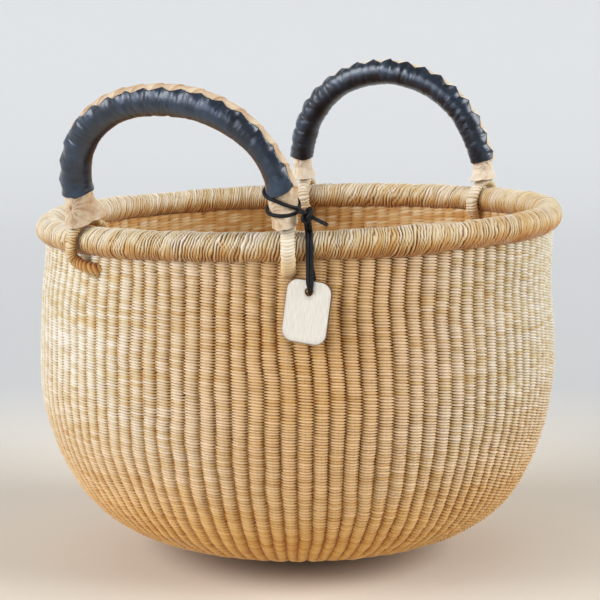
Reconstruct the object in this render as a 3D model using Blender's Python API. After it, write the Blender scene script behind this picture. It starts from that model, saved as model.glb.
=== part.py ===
"""A round market basket twined from straw, with a thick wrapped rim, two swinging
leather covered handles, and a small wooden tag on a cord.

Metres, +Z up. The origin is the middle of the flat underside. The handles are at -Y
(front) and +Y (rear), and their feet lie along X. The upper basket leans a little, as a
basket that is woven by hand does, so everything on the rim is placed in the rim's frame.
"""

import math

import bmesh
import bpy
import numpy as np
from mathutils import Matrix, Vector

for old in list(bpy.data.objects):
    bpy.data.objects.remove(old, do_unlink=True)

# the basket's wall, outside: heights as shares of the rim's height, each with its radius
# as a share of the radius at the wall's top
rim_height = 0.269
wall_top_radius = 0.2020
wall_height_shares = (0.0, 0.011, 0.030, 0.052, 0.074, 0.123, 0.186, 0.279, 0.390, 0.520,
                      0.669, 0.799, 0.911)
wall_radius_shares = (0.248, 0.307, 0.401, 0.515, 0.621, 0.752, 0.848, 0.926, 0.983, 1.017,
                      1.017, 1.007, 1.0)
wall_thickness = 0.007
lean_degrees = 1.6
lean_towards_degrees = 27.2
straight_above_share = 0.855
# the rim, its ring set in from the wall's outer side
rim_set_in = 0.0024
rim_radius = 0.0106
rim_wrap_thickness = 0.0029
# the handles
foot_degrees = 25.0
front_lean_degrees = 16.5
rear_lean_degrees = -7.5
leg_height = 0.034
arch_height = 0.0765
sleeve_radius = 0.0104
sleeve_thickness = 0.0012
core_radius = 0.0087
strip_half_degrees = 32.0
strip_edge_degrees = 2.6
strip_radius = 0.0112
# the straw loops that hold the feet to the rim
loop_ring_radius = 0.0174
loop_half_width = 0.0052
loop_half_depth = 0.0041
# the leather cuffs over the feet
cuff_bottom_height = 0.0170
cuff_top_height = 0.0400
cuff_bottom_half_width = 0.0101
cuff_bottom_half_depth = 0.0180
cuff_top_radius = 0.0112
cuff_thickness = 0.0015
cuff_flare_share = 0.46
# the tag and its cord
cord_diameter = 0.0028
tag_direction_degrees = -61.5
tag_width = 0.033
tag_height = 0.0455
tag_thickness = 0.003
tag_corner_radius = 0.0085
tag_hole_radius = 0.0029
tag_hole_from_top = 0.0080
tag_hole_drop = 0.0310
tag_yaw_degrees = -11.0
tag_roll_degrees = -5.0
knot_radius = 0.0041
knot_across = 0.0196
knot_height = 0.0250
knot_forward = 0.0030
tail_length = 0.0150
tail_heading_shares = (0.86, -0.08, -0.38)
strand_spacing = 0.0034
strand_top = 0.0026
strand_run = 0.0060
lead_turns_degrees = (62.0, 50.0, 38.0, 26.0, 14.0, 6.0)
# the wound cord: turns from the cuff's outer side, each with its share of the cuff's height
wound_turn_shares = (-0.12, 0.25, 0.5, 0.75, 1.0, 1.25, 1.5, 1.75, 1.88)
wound_height_shares = (0.36, 0.33, 0.40, 0.42, 0.60, 0.80, 0.93, 0.83, 0.74)
# clearances
touch_gap = 0.0003
core_gap = 0.0005
cord_lift = 0.00095
hole_gap = 0.0006
slot_gap = 0.0004
merge_distance = 0.00001
# steps round each shape
body_steps = 72
body_levels = 18
rim_core_steps = 8
rim_wrap_steps = 12
section_steps = 12
strip_steps = 4
loop_steps = 20
loop_section_steps = 8
cuff_steps = 16
cuff_levels = 5
arch_steps = 20
wrap_points = 60
wrap_points_near = 12
knot_steps = 14
knot_levels = 9
corner_steps = 5
hole_steps = 16

wall_heights = [share * rim_height for share in wall_height_shares]
wall_radii = [share * wall_top_radius for share in wall_radius_shares]
straight_above = straight_above_share * rim_height
rim_ring_radius = wall_top_radius - rim_set_in
cord_radius = cord_diameter / 2
pivot_half_span = rim_ring_radius * math.sin(math.radians(foot_degrees))
pivot_offset = rim_ring_radius * math.cos(math.radians(foot_degrees))
lean_axis_turn = math.radians(lean_towards_degrees)
rim_wrap_inner_radius = rim_radius - rim_wrap_thickness
rim_core_radius = rim_wrap_inner_radius - core_gap


def material(name, colour, roughness):
    """A plain finish with the slot's name."""
    made = bpy.data.materials.new(name)
    made.use_nodes = True
    shader = made.node_tree.nodes["Principled BSDF"]
    shader.inputs["Base Color"].default_value = (*colour, 1.0)
    shader.inputs["Roughness"].default_value = roughness
    return made


straw = (0.78, 0.60, 0.34)
dark_straw = (0.70, 0.48, 0.22)
navy = (0.020, 0.028, 0.055)
tan = (0.66, 0.49, 0.34)
black = (0.008, 0.008, 0.010)
pale_wood = (0.74, 0.66, 0.54)
cord_finish = material("black_cord", black, 0.6)


def empty(name, parent=None):
    """An empty that pieces are parented to."""
    made = bpy.data.objects.new(name, None)
    bpy.context.scene.collection.objects.link(made)
    made.parent = parent
    return made


def add_piece(name, data, finish, parent=None, smooth=True):
    """Puts a mesh or a curve into the scene under its name, with its finish."""
    made = bpy.data.objects.new(name, data)
    bpy.context.scene.collection.objects.link(made)
    made.parent = parent
    if finish is not None:
        data.materials.append(finish)
    if smooth and made.type == "MESH":
        for face in data.polygons:
            face.use_smooth = True
    return made


def mesh_from(bm, name):
    """Closes off a bmesh with its faces outwards."""
    bmesh.ops.recalc_face_normals(bm, faces=bm.faces[:])
    if bm.calc_volume(signed=True) < 0:
        bmesh.ops.reverse_faces(bm, faces=bm.faces[:])
    data = bpy.data.meshes.new(name)
    bm.to_mesh(data)
    bm.free()
    return data


def loft(name, sections, closed):
    """A solid through sections of equal point counts, closed on itself or capped."""
    bm = bmesh.new()
    rings = [[bm.verts.new(point) for point in section] for section in sections]
    pairs = list(zip(rings, rings[1:]))
    if closed:
        pairs.append((rings[-1], rings[0]))
    for first, second in pairs:
        for here in range(len(first)):
            after = (here + 1) % len(first)
            bm.faces.new((first[here], first[after], second[after], second[here]))
    if not closed:
        bm.faces.new(rings[0])
        bm.faces.new(rings[-1])
    return mesh_from(bm, name)


def spun(name, profile, steps):
    """A closed profile of (radius, height) turned a full turn about Z."""
    bm = bmesh.new()
    ring = [bm.verts.new((radius, 0.0, height)) for radius, height in profile]
    edges = [bm.edges.new((ring[i], ring[(i + 1) % len(ring)])) for i in range(len(ring))]
    bmesh.ops.spin(bm, geom=ring + edges, cent=(0.0, 0.0, 0.0), axis=(0.0, 0.0, 1.0),
                   angle=math.tau, steps=steps, use_merge=True)
    bmesh.ops.remove_doubles(bm, verts=bm.verts[:], dist=merge_distance)
    return bm


def cord_curve(name, points, parent):
    """A round cord with filled ends through the given points."""
    data = bpy.data.curves.new(name, "CURVE")
    data.dimensions = "3D"
    data.bevel_depth = cord_radius
    data.bevel_resolution = 2
    data.use_fill_caps = True
    line = data.splines.new("POLY")
    line.points.add(len(points) - 1)
    for slot, point in zip(line.points, points):
        slot.co = (*point, 1.0)
    return add_piece(name, data, cord_finish, parent)


# The wall leans more and more up to straight_above, and from there it is square to the rim.
turn_to_lean = Matrix.Rotation(lean_axis_turn, 4, "Z")
lean = turn_to_lean @ Matrix.Rotation(-math.radians(lean_degrees), 4, "Y") @ turn_to_lean.inverted()
rim_matrix = Matrix.Translation((0.0, 0.0, rim_height)) @ lean
rim_frame = empty("rim_frame")
rim_frame.matrix_local = rim_matrix


def leaned(point):
    """Where a point of the upright wall lies in the leaning basket."""
    top = rim_matrix @ Matrix.Translation((0.0, 0.0, -rim_height))
    share = min(max(point.z / straight_above, 0.0), 1.0)
    eased = share * share * (3 - 2 * share)
    return point.lerp(top @ point, eased)


# The woven wall and base, one closed shell with a true opening.
fine_heights = np.interp(np.linspace(0.0, 1.0, body_levels), np.linspace(0.0, 1.0, len(wall_heights)),
                         wall_heights)


def wall_radius(height):
    """The wall's outer radius, by a smooth curve through the table."""
    heights, radii = np.array(wall_heights), np.array(wall_radii)
    slopes = np.gradient(radii, heights)
    index = int(np.clip(np.searchsorted(heights, height) - 1, 0, len(heights) - 2))
    width = heights[index + 1] - heights[index]
    share = (height - heights[index]) / width
    ends = (radii[index], radii[index + 1])
    bends = (slopes[index] * width, slopes[index + 1] * width)
    square, cube = share * share, share * share * share
    return float(ends[0] * (2 * cube - 3 * square + 1) + bends[0] * (cube - 2 * square + share)
                 + ends[1] * (3 * square - 2 * cube) + bends[1] * (cube - square))


wall_top = rim_height - rim_core_radius - slot_gap
outside = [(wall_radius(height), float(height)) for height in fine_heights]
outside.append((wall_top_radius, wall_top))
line = np.array(outside)
along = np.gradient(line, axis=0)
along /= np.linalg.norm(along, axis=1)[:, None]
inward = np.stack([-along[:, 1], along[:, 0]], axis=1)
inward[0] = (0.0, 1.0)
inward[-1] = (-1.0, 0.0)
inside = line + inward * wall_thickness
wall_inner_top_radius = float(inside[-1][0])
wall = bmesh.new()
half_section = [wall.verts.new((0.0, 0.0, 0.0))]
half_section += [wall.verts.new((radius, 0.0, height)) for radius, height in outside]
half_section += [wall.verts.new((radius, 0.0, height)) for radius, height in inside[::-1]]
half_section.append(wall.verts.new((0.0, 0.0, wall_thickness)))
wall_edges = [wall.edges.new(pair) for pair in zip(half_section, half_section[1:])]
bmesh.ops.spin(wall, geom=half_section + wall_edges, cent=(0.0, 0.0, 0.0),
               axis=(0.0, 0.0, 1.0), angle=math.tau, steps=body_steps, use_merge=True)
bmesh.ops.remove_doubles(wall, verts=wall.verts[:], dist=merge_distance)
for vert in wall.verts:
    vert.co = leaned(vert.co)
woven_body = add_piece("woven_body", mesh_from(wall, "woven_body"),
                       material("woven_straw", straw, 0.75))

# The rim: a round bundle, and a wrapped skin round it that is open below for the wall.
straw_finish = material("wrapped_straw", dark_straw, 0.7)
bundle_profile = [(rim_ring_radius + rim_core_radius * math.cos(math.tau * i / rim_core_steps),
                   rim_core_radius * math.sin(math.tau * i / rim_core_steps))
                  for i in range(rim_core_steps)]
rim_core = add_piece("rim_core", mesh_from(spun("rim_core", bundle_profile, body_steps),
                                           "rim_core"),
                     material("straw_bundle", straw, 0.8), rim_frame)

slot_inner = wall_inner_top_radius - slot_gap - rim_ring_radius
slot_outer = wall_top_radius + slot_gap - rim_ring_radius


def open_arc(radius):
    """Points round the rim's section from the slot's outer side to its inner side."""
    start = -math.pi / 2 + math.asin(slot_outer / radius)
    end = 1.5 * math.pi + math.asin(slot_inner / radius)
    return [(rim_ring_radius + radius * math.cos(angle), radius * math.sin(angle))
            for angle in np.linspace(start, end, rim_wrap_steps)]


skin_profile = open_arc(rim_radius) + open_arc(rim_wrap_inner_radius)[::-1]
rim_wrap = add_piece("rim_wrap", mesh_from(spun("rim_wrap", skin_profile, body_steps),
                                           "rim_wrap"), straw_finish, rim_frame)


def leg_station(height, side):
    """A point on the handle's centre line at a height above the pivot, with its direction."""
    if height <= leg_height:
        return Vector((side * pivot_half_span, 0.0, height)), Vector((0.0, 0.0, 1.0))
    rise = (height - leg_height) / arch_height
    across = math.sqrt(max(1 - rise * rise, 0.0))
    place = Vector((side * pivot_half_span * across, 0.0, height))
    heading = Vector((-side * pivot_half_span * rise, 0.0, arch_height * across))
    return place, heading.normalized()


def handle_stations(start_height):
    """The whole arch from one foot to the other, from start_height up and back down."""
    first_turn = math.asin(max(start_height - leg_height, 0.0) / arch_height)
    stations = []
    if start_height < leg_height:
        stations.append((Vector((pivot_half_span, 0.0, start_height)), Vector((0.0, 0.0, 1.0))))
    for turn in np.linspace(first_turn, math.pi - first_turn, arch_steps):
        place = Vector((pivot_half_span * math.cos(turn), 0.0,
                        leg_height + arch_height * math.sin(turn)))
        heading = Vector((-pivot_half_span * math.sin(turn), 0.0,
                          arch_height * math.cos(turn)))
        stations.append((place, heading.normalized()))
    if start_height < leg_height:
        stations.append((Vector((-pivot_half_span, 0.0, start_height)), Vector((0.0, 0.0, -1.0))))
    return stations


depthways = Vector((0.0, 1.0, 0.0))


def swept(name, stations, section):
    """A section of (outward, depth) pairs carried along the stations."""
    rings = []
    for place, heading in stations:
        outward = depthways.cross(heading)
        rings.append([place + outward * out + depthways * deep for out, deep in section])
    return loft(name, rings, False)


def arc_points(radius, start, end, count):
    """Points of an arc in (outward, depth), angles in degrees from the outer edge."""
    return [(radius * math.cos(math.radians(angle)), radius * math.sin(math.radians(angle)))
            for angle in np.linspace(start, end, count)]


def cuff_half_sizes(height):
    """The cuff's half width along the pivot and its half depth, outside, at a height."""
    share = (height - cuff_bottom_height) / (cuff_top_height - cuff_bottom_height)
    eased = min(max(share / cuff_flare_share, 0.0), 1.0)
    eased = eased * eased * (3 - 2 * eased)
    return (cuff_bottom_half_width + (cuff_top_radius - cuff_bottom_half_width) * eased,
            cuff_bottom_half_depth + (cuff_top_radius - cuff_bottom_half_depth) * eased)


def cuff_ring(height, side, inset):
    """One level of the cuff, set in by the leather's thickness for its inner side."""
    place, heading = leg_station(height, side)
    outward = depthways.cross(heading) * side
    wide, deep = cuff_half_sizes(height)
    return [place + outward * (wide - inset) * math.cos(angle)
            + depthways * (deep - inset) * math.sin(angle)
            for angle in np.linspace(0.0, math.tau, cuff_steps, endpoint=False)]


def cuff_shell(name, side):
    """The leather cuff, a flared sleeve that is open at both ends."""
    levels = np.linspace(cuff_bottom_height, cuff_top_height, cuff_levels)
    outer = [cuff_ring(height, side, 0.0) for height in levels]
    inner = [cuff_ring(height, side, cuff_thickness) for height in levels[::-1]]
    return loft(name, outer + inner, True)


def loop_ring(name, side, grow):
    """The straw loop, a flattened ring about the pivot; grow makes it its own cutter."""
    rings = []
    for turn in np.linspace(0.0, math.tau, loop_steps, endpoint=False):
        ray = Vector((0.0, math.cos(turn), math.sin(turn)))
        ring = []
        for angle in np.linspace(0.0, math.tau, loop_section_steps, endpoint=False):
            reach = loop_ring_radius + (loop_half_depth + grow) * math.cos(angle)
            across = side * pivot_half_span + (loop_half_width + grow) * math.sin(angle)
            ring.append(ray * reach + Vector((across, 0.0, 0.0)))
        rings.append(ring)
    return loft(name, rings, True)


leather_navy = material("navy_leather", navy, 0.4)
leather_tan = material("tan_leather", tan, 0.6)
loop_finish = material("loop_straw", dark_straw, 0.7)
bundle_finish = material("handle_bundle", straw, 0.8)
core_start = loop_ring_radius + loop_half_depth + touch_gap
sleeve_start = cuff_top_height + touch_gap
sleeve_inner_radius = sleeve_radius - sleeve_thickness
strip_joint_degrees = strip_half_degrees + strip_edge_degrees


def make_handle(place, turn, handle_lean, left_side):
    """One handle on an empty at its pivot: bundle, sleeve, strip, cuffs and loops."""
    pivot = empty(place + "_handle_pivot", rim_frame)
    spin = Matrix.Rotation(turn, 4, "Z")
    pivot.matrix_local = (spin @ Matrix.Translation((0.0, -pivot_offset, 0.0))
                          @ Matrix.Rotation(math.radians(handle_lean), 4, "X"))
    bundle = [(core_radius * math.cos(math.tau * i / section_steps),
               core_radius * math.sin(math.tau * i / section_steps))
              for i in range(section_steps)]
    add_piece(place + "_handle_core", swept(place + "_handle_core", handle_stations(core_start),
                                            bundle), bundle_finish, pivot)
    stations = handle_stations(sleeve_start)
    wide_arc = (strip_joint_degrees, 360 - strip_joint_degrees, section_steps)
    sleeve = arc_points(sleeve_radius, *wide_arc) + arc_points(sleeve_inner_radius, *wide_arc)[::-1]
    add_piece(place + "_handle_sleeve", swept(place + "_handle_sleeve", stations, sleeve),
              leather_navy, pivot)
    narrow_arc = (-strip_half_degrees, strip_half_degrees, strip_steps)
    strip = arc_points(strip_radius, *narrow_arc) + arc_points(sleeve_inner_radius, *narrow_arc)[::-1]
    add_piece(place + "_lacing_strip", swept(place + "_lacing_strip", stations, strip),
              leather_tan, pivot)
    for hand, side in (("left", left_side), ("right", -left_side)):
        cuff = place + "_" + hand + "_cuff"
        add_piece(cuff, cuff_shell(cuff, side), leather_tan, pivot)
        ring = place + "_" + hand + "_loop"
        add_piece(ring, loop_ring(ring, side, 0.0), loop_finish, pivot)
        cutter = add_piece(ring + "_cutter", loop_ring(ring + "_cutter", side, hole_gap), None, pivot)
        cutter.hide_render = True
        cutter.display_type = "WIRE"
        cut = woven_body.modifiers.new(ring + "_hole", "BOOLEAN")
        cut.operation = "DIFFERENCE"
        cut.solver = "EXACT"
        cut.object = cutter
    return pivot


front_pivot = make_handle("front", 0.0, front_lean_degrees, -1)
rear_pivot = make_handle("rear", math.pi, rear_lean_degrees, 1)

# The cord is wound twice round the front handle's right cuff and knotted beside it.
cord_offset = cord_radius + cord_lift


def wound_point(turn, height):
    """A point of the cord's middle round the right cuff, turn from its outer side."""
    place, heading = leg_station(height, 1)
    wide, deep = cuff_half_sizes(height)
    across, depth = math.cos(turn), math.sin(turn)
    normal = Vector((across / wide, depth / deep, 0.0)).normalized()
    return (place + Vector((wide * across, deep * depth, 0.0)) + normal * cord_offset)


wraps = []
for step in np.linspace(wound_turn_shares[0], wound_turn_shares[-1], wrap_points):
    share = float(np.interp(step, wound_turn_shares, wound_height_shares))
    height = cuff_bottom_height + share * (cuff_top_height - cuff_bottom_height)
    wraps.append(wound_point(-step * math.tau, height))
cord_curve("tag_cord_wraps", wraps, front_pivot)

least_gap = min((wraps[i] - wraps[j]).length - cord_diameter
                for i in range(len(wraps)) for j in range(i + wrap_points_near, len(wraps)))
print("wound cord, least gap of the wound cord to itself, mm", round(least_gap * 1000, 2))

knot_centre = Vector((pivot_half_span + knot_across, -knot_forward, knot_height))
knot_mesh = bmesh.new()
bmesh.ops.create_uvsphere(knot_mesh, u_segments=knot_steps, v_segments=knot_levels,
                          radius=knot_radius)
add_piece("tag_cord_knot", mesh_from(knot_mesh, "tag_cord_knot"), cord_finish,
          front_pivot).location = knot_centre

# The tag hangs from where its cord leaves the rim.
tag_direction = math.radians(tag_direction_degrees)
tag_pivot = empty("tag_pivot")
rim_outer_reach = rim_ring_radius + rim_radius + touch_gap + cord_radius
tag_out = Vector((math.cos(tag_direction), math.sin(tag_direction), 0.0))
tag_place = rim_matrix @ (tag_out * rim_outer_reach)
tag_pivot.matrix_local = Matrix.Translation(tag_place) @ Matrix.Rotation(tag_direction, 4, "Z")

# In the pivot's own frame +X is away from the basket, +Y runs along the rim.
board_yaw = Matrix.Rotation(math.radians(tag_yaw_degrees), 4, "Z")
board_roll = Matrix.Rotation(math.radians(tag_roll_degrees), 4, "X")
board = bmesh.new()
outline = []
for corner, (sign_across, sign_up) in enumerate(((1, 1), (-1, 1), (-1, -1), (1, -1))):
    centre_across = sign_across * (tag_width / 2 - tag_corner_radius)
    centre_up = sign_up * (tag_height / 2 - tag_corner_radius)
    for angle in np.linspace(corner * math.pi / 2, (corner + 1) * math.pi / 2, corner_steps):
        outline.append((centre_across + tag_corner_radius * math.cos(angle),
                        centre_up + tag_corner_radius * math.sin(angle)))
drop_to_middle = tag_height / 2 - tag_hole_from_top
front_ring = [board.verts.new((tag_thickness / 2, across, up - drop_to_middle))
              for across, up in outline]
back_ring = [board.verts.new((-tag_thickness / 2, across, up - drop_to_middle))
             for across, up in outline]
board.faces.new(front_ring)
board.faces.new(back_ring)
for here in range(len(outline)):
    after = (here + 1) % len(outline)
    board.faces.new((front_ring[here], front_ring[after], back_ring[after], back_ring[here]))
tag_board = add_piece("hang_tag", mesh_from(board, "hang_tag"),
                      material("tag_wood", pale_wood, 0.5), tag_pivot, smooth=False)
tag_board.matrix_local = Matrix.Translation((0.0, 0.0, -tag_hole_drop)) @ board_yaw @ board_roll
drill_mesh = bmesh.new()
bmesh.ops.create_cone(drill_mesh, cap_ends=True, segments=hole_steps, radius1=tag_hole_radius,
                      radius2=tag_hole_radius, depth=tag_thickness * 3)
drill = add_piece("tag_hole_cutter", mesh_from(drill_mesh, "tag_hole_cutter"), None, tag_board)
drill.matrix_local = Matrix.Rotation(math.pi / 2, 4, "Y")
drill.hide_render = True
drill.display_type = "WIRE"
bored = tag_board.modifiers.new("hole", "BOOLEAN")
bored.operation = "DIFFERENCE"
bored.solver = "EXACT"
bored.object = drill

# The two strands run down one in front of the tag and one behind it, through its hole.
clear_of_board = tag_thickness / 2 + cord_radius + touch_gap
half_spacing = strand_spacing / 2
strands = [(0.0, -half_spacing, -strand_top), (0.0, -half_spacing, -strand_top - cord_diameter),
           (clear_of_board, -half_spacing, -tag_hole_drop + strand_run),
           (clear_of_board + touch_gap, 0.0, -tag_hole_drop + cord_radius),
           (clear_of_board / 2, 0.0, -tag_hole_drop),
           (-clear_of_board / 2, 0.0, -tag_hole_drop),
           (-clear_of_board - touch_gap, 0.0, -tag_hole_drop + cord_radius),
           (-clear_of_board, half_spacing, -tag_hole_drop + strand_run),
           (0.0, half_spacing, -strand_top - cord_diameter), (0.0, half_spacing, -strand_top)]
cord_curve("tag_cord_strands", strands, tag_pivot)

# The short lead from the knot over the rim to where the strands begin, and the loose tail.
bpy.context.view_layer.update()
to_world = front_pivot.matrix_world
knot_world = to_world @ knot_centre
lead_reach = rim_radius + touch_gap + cord_radius
lead = []
for turn in lead_turns_degrees:
    reach = rim_ring_radius + lead_reach * math.cos(math.radians(turn))
    lead.append(rim_matrix @ (tag_out * reach
                             + Vector((0.0, 0.0, lead_reach * math.sin(math.radians(turn))))))
toward = (lead[0] - knot_world).normalized()
lead_start = knot_world + toward * (knot_radius + touch_gap)
cord_curve("tag_cord_lead", [lead_start, lead_start.lerp(lead[0], 0.5)] + lead, None)

tail_heading = Vector(tail_heading_shares).normalized()
tail_start = knot_centre + tail_heading * (knot_radius + touch_gap)
tail = [tail_start + tail_heading * (tail_length * share) for share in (0.0, 0.3, 0.65, 1.0)]
cord_curve("tag_cord_tail", tail, front_pivot)

for place, pivot in (("front", front_pivot), ("rear", rear_pivot)):
    axis = pivot.matrix_world.to_3x3() @ Vector((1.0, 0.0, 0.0))
    print(place, "pivot", [round(v, 6) for v in pivot.matrix_world.translation],
          "axis", [round(v, 6) for v in axis])
print("tag pivot", [round(v, 6) for v in tag_pivot.matrix_world.translation], "axis",
      [round(v, 6) for v in tag_pivot.matrix_world.to_3x3() @ Vector((0.0, -1.0, 0.0))])
print("knot", [round(v, 4) for v in knot_world])
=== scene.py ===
"""A round market basket twined from elephant grass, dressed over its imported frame.

Metres, +Z up, the front handle towards -Y. Sizes that part.py also has are repeated here,
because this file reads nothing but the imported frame.
"""
import logging
import math
from dataclasses import dataclass, field
from enum import Enum
from typing import Any, Sequence

import bpy
import numpy as np
from mathutils import Matrix, Vector


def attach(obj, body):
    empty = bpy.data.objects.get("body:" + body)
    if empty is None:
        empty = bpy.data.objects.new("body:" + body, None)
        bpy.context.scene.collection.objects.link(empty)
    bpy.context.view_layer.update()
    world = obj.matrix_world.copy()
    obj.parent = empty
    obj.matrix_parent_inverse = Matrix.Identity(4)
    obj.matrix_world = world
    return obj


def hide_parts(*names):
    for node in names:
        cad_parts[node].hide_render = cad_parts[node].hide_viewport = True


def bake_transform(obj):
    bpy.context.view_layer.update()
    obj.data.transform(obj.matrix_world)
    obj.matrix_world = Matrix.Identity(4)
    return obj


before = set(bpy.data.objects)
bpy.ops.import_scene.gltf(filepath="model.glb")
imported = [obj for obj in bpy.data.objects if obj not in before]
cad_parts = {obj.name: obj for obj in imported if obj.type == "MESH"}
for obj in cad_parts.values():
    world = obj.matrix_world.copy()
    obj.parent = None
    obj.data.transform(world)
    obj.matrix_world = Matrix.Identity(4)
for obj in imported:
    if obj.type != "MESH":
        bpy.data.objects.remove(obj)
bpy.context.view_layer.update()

TAU = 2.0 * math.pi
CM_IN_METRE = 100.0
TONE_RANGE = (0.02, 0.98)  # how far a strand's tone may go along its colour ramp
Colour = tuple[float, float, float, float]

log = logging.getLogger("market_basket")


class Place(Enum):
    """Which of the two handles: the front one is at -Y."""

    FRONT = "front"
    REAR = "rear"


class Hand(Enum):
    """Left and right as seen from the front."""

    LEFT = "left"
    RIGHT = "right"

    @property
    def index(self) -> int:
        """0 for the left and 1 for the right, the order of every pair of settings."""
        return 0 if self is Hand.LEFT else 1


# ---------------------------------------------------------------- colours, nodes, meshes


def linear(code: str) -> Colour:
    """An sRGB hex colour as linear RGBA.

    Each channel c becomes c / 12.92 up to 0.04045, and ((c + 0.055) / 1.055) ^ 2.4 above it.

    Args:
        code: six hex digits, with or without a leading '#'.

    Returns:
        Linear red, green and blue, and an alpha of 1.
    """
    digits = code.lstrip("#")
    channels = [int(digits[i:i + 2], 16) / 255 for i in (0, 2, 4)]
    bent = [c / 12.92 if c <= 0.04045 else ((c + 0.055) / 1.055) ** 2.4 for c in channels]
    return (*bent, 1.0)


def add_node(tree: bpy.types.NodeTree, kind: str, feeds: dict[Any, Any] | None = None,
             out: int | str = 0, ramp: Sequence[tuple[float, str]] = (),
             **settings: Any) -> bpy.types.NodeSocket:
    """Adds a node, sets it up and feeds its inputs.

    Args:
        tree: the tree that gets the node.
        kind: the node's Blender type.
        feeds: input name or number, with a value or another node's output.
        out: which output to hand back.
        ramp: for a colour ramp, each stop's place with its hex colour.
        **settings: the node's own properties.

    Returns:
        The output socket asked for.
    """
    made = tree.nodes.new(kind)
    for name, value in settings.items():
        setattr(made, name, value)
    for key, value in (feeds or {}).items():
        socket = made.inputs[key]
        if isinstance(value, bpy.types.NodeSocket):
            tree.links.new(value, socket)
        else:
            socket.default_value = value
    for index, (place, code) in enumerate(ramp):
        stops = made.color_ramp.elements
        stop = stops[index] if index < 2 else stops.new(place)
        stop.position = place
        stop.color = linear(code)
    return made.outputs[out] if made.outputs else None


def new_material(name: str, **sockets: Any) -> tuple[bpy.types.Material, bpy.types.Node]:
    """A material whose Principled shader has these sockets set.

    Args:
        name: the material's name.
        **sockets: socket names, with '_' for a blank, and their values.

    Returns:
        The material and its shader node.
    """
    made = bpy.data.materials.new(name)
    made.use_nodes = True
    shader = made.node_tree.nodes["Principled BSDF"]
    for key, value in sockets.items():
        shader.inputs[key.replace("_", " ")].default_value = value
    return made, shader


def attribute(tree: bpy.types.NodeTree, name: str) -> bpy.types.NodeSocket:
    """The value that a piece's points keep under this name."""
    return add_node(tree, "ShaderNodeAttribute", out="Fac", attribute_name=name)


def connect(shader: bpy.types.Node, colour: bpy.types.NodeSocket,
            height: bpy.types.NodeSocket | None = None, strength: float = 0.0,
            depth: float = 0.0) -> None:
    """Feeds a shader its colour, and a bump where there is a height.

    Args:
        shader: the Principled shader.
        colour: what its base colour comes from.
        height: what its bump comes from.
        strength: how much of the bump shows.
        depth: the bump's height in metres.
    """
    tree = shader.id_data
    tree.links.new(colour, shader.inputs["Base Color"])
    if height is not None:
        bump = add_node(tree, "ShaderNodeBump",
                        {"Height": height, "Strength": strength, "Distance": depth})
        tree.links.new(bump, shader.inputs["Normal"])


def surface_mesh(name: str, points: np.ndarray, closed_u: bool = False, closed_v: bool = False,
                 u_values: np.ndarray | None = None, v_values: np.ndarray | None = None,
                 flip: bool = False, strands_up: bool = False,
                 **attributes: np.ndarray) -> bpy.types.Mesh:
    """A quad mesh over a grid of points.

    Face (i, j) joins the points (i, j), (i, j+1), (i+1, j+1) and (i+1, j).

    Args:
        name: the mesh's name.
        points: rows x columns x 3, in metres.
        closed_u: the last column joins the first.
        closed_v: the last row joins the first.
        u_values: the pattern's coordinate along the columns, in centimetres.
        v_values: the same along the rows.
        flip: turns the faces round.
        strands_up: the strands run along the rows' direction, so the pattern is turned.
        **attributes: rows x columns of numbers, kept on the points.

    Returns:
        The mesh, shaded smooth.
    """
    rows, columns = points.shape[:2]
    i, j = np.meshgrid(np.arange(rows if closed_v else rows - 1),
                       np.arange(columns if closed_u else columns - 1), indexing="ij")
    corner_rows = np.stack([i, i, i + 1, i + 1], axis=-1).reshape(-1, 4)
    corner_columns = np.stack([j, j + 1, j + 1, j], axis=-1).reshape(-1, 4)
    if flip:
        corner_rows, corner_columns = corner_rows[:, ::-1], corner_columns[:, ::-1]
    index = (corner_rows % rows) * columns + corner_columns % columns
    mesh = bpy.data.meshes.new(name)
    mesh.vertices.add(rows * columns)
    mesh.vertices.foreach_set("co", np.ascontiguousarray(points, dtype=np.float32).ravel())
    mesh.loops.add(index.size)
    mesh.loops.foreach_set("vertex_index", np.ascontiguousarray(index, dtype=np.int32).ravel())
    mesh.polygons.add(len(index))
    mesh.polygons.foreach_set("loop_start", np.arange(0, index.size, 4, dtype=np.int32))
    mesh.polygons.foreach_set("use_smooth", np.ones(len(index), dtype=bool))
    if u_values is not None and v_values is not None:
        pairs = np.stack([u_values[corner_columns], v_values[corner_rows]], axis=-1)
        pairs = pairs[..., ::-1] if strands_up else pairs
        mesh.uv_layers.new(name="strand").data.foreach_set("uv", pairs.astype(np.float32).ravel())
    for key, values in attributes.items():
        layer = mesh.attributes.new(key, "FLOAT", "POINT")
        layer.data.foreach_set("value", np.ascontiguousarray(values, dtype=np.float32).ravel())
    mesh.update(calc_edges=True)
    return mesh


def add_object(name: str, data: bpy.types.ID) -> bpy.types.Object:
    """A new object in the scene, at the origin."""
    made = bpy.data.objects.new(name, data)
    bpy.context.scene.collection.objects.link(made)
    return made


def add_piece(name: str, data: bpy.types.ID, material: bpy.types.Material, body: str, slot: str,
              *nodes: str) -> bpy.types.Object:
    """Puts a finished piece at the origin, on its body, in place of its CAD nodes.

    Args:
        name: the piece's name.
        data: its mesh or curve.
        material: its finish.
        body: the CAD body that it moves with, or nothing for a piece on no body.
        slot: the record's material slot; not used.
        *nodes: the CAD nodes that it stands for.

    Returns:
        The object.
    """
    made = add_object(name, data)
    data.materials.append(material)
    if body:
        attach(made, body)
    if nodes:
        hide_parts(*nodes)
    size = len(data.polygons) if isinstance(data, bpy.types.Mesh) else len(data.splines)
    log.info("%s on %s, %d faces or splines", name, body or "two bodies", size)
    return made


def thicken(piece: bpy.types.Object, thickness: float) -> None:
    """Gives a sheet its thickness, inwards from its outer side."""
    wall = piece.modifiers.new("thickness", "SOLIDIFY")
    wall.thickness = thickness
    wall.offset = -1.0


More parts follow.
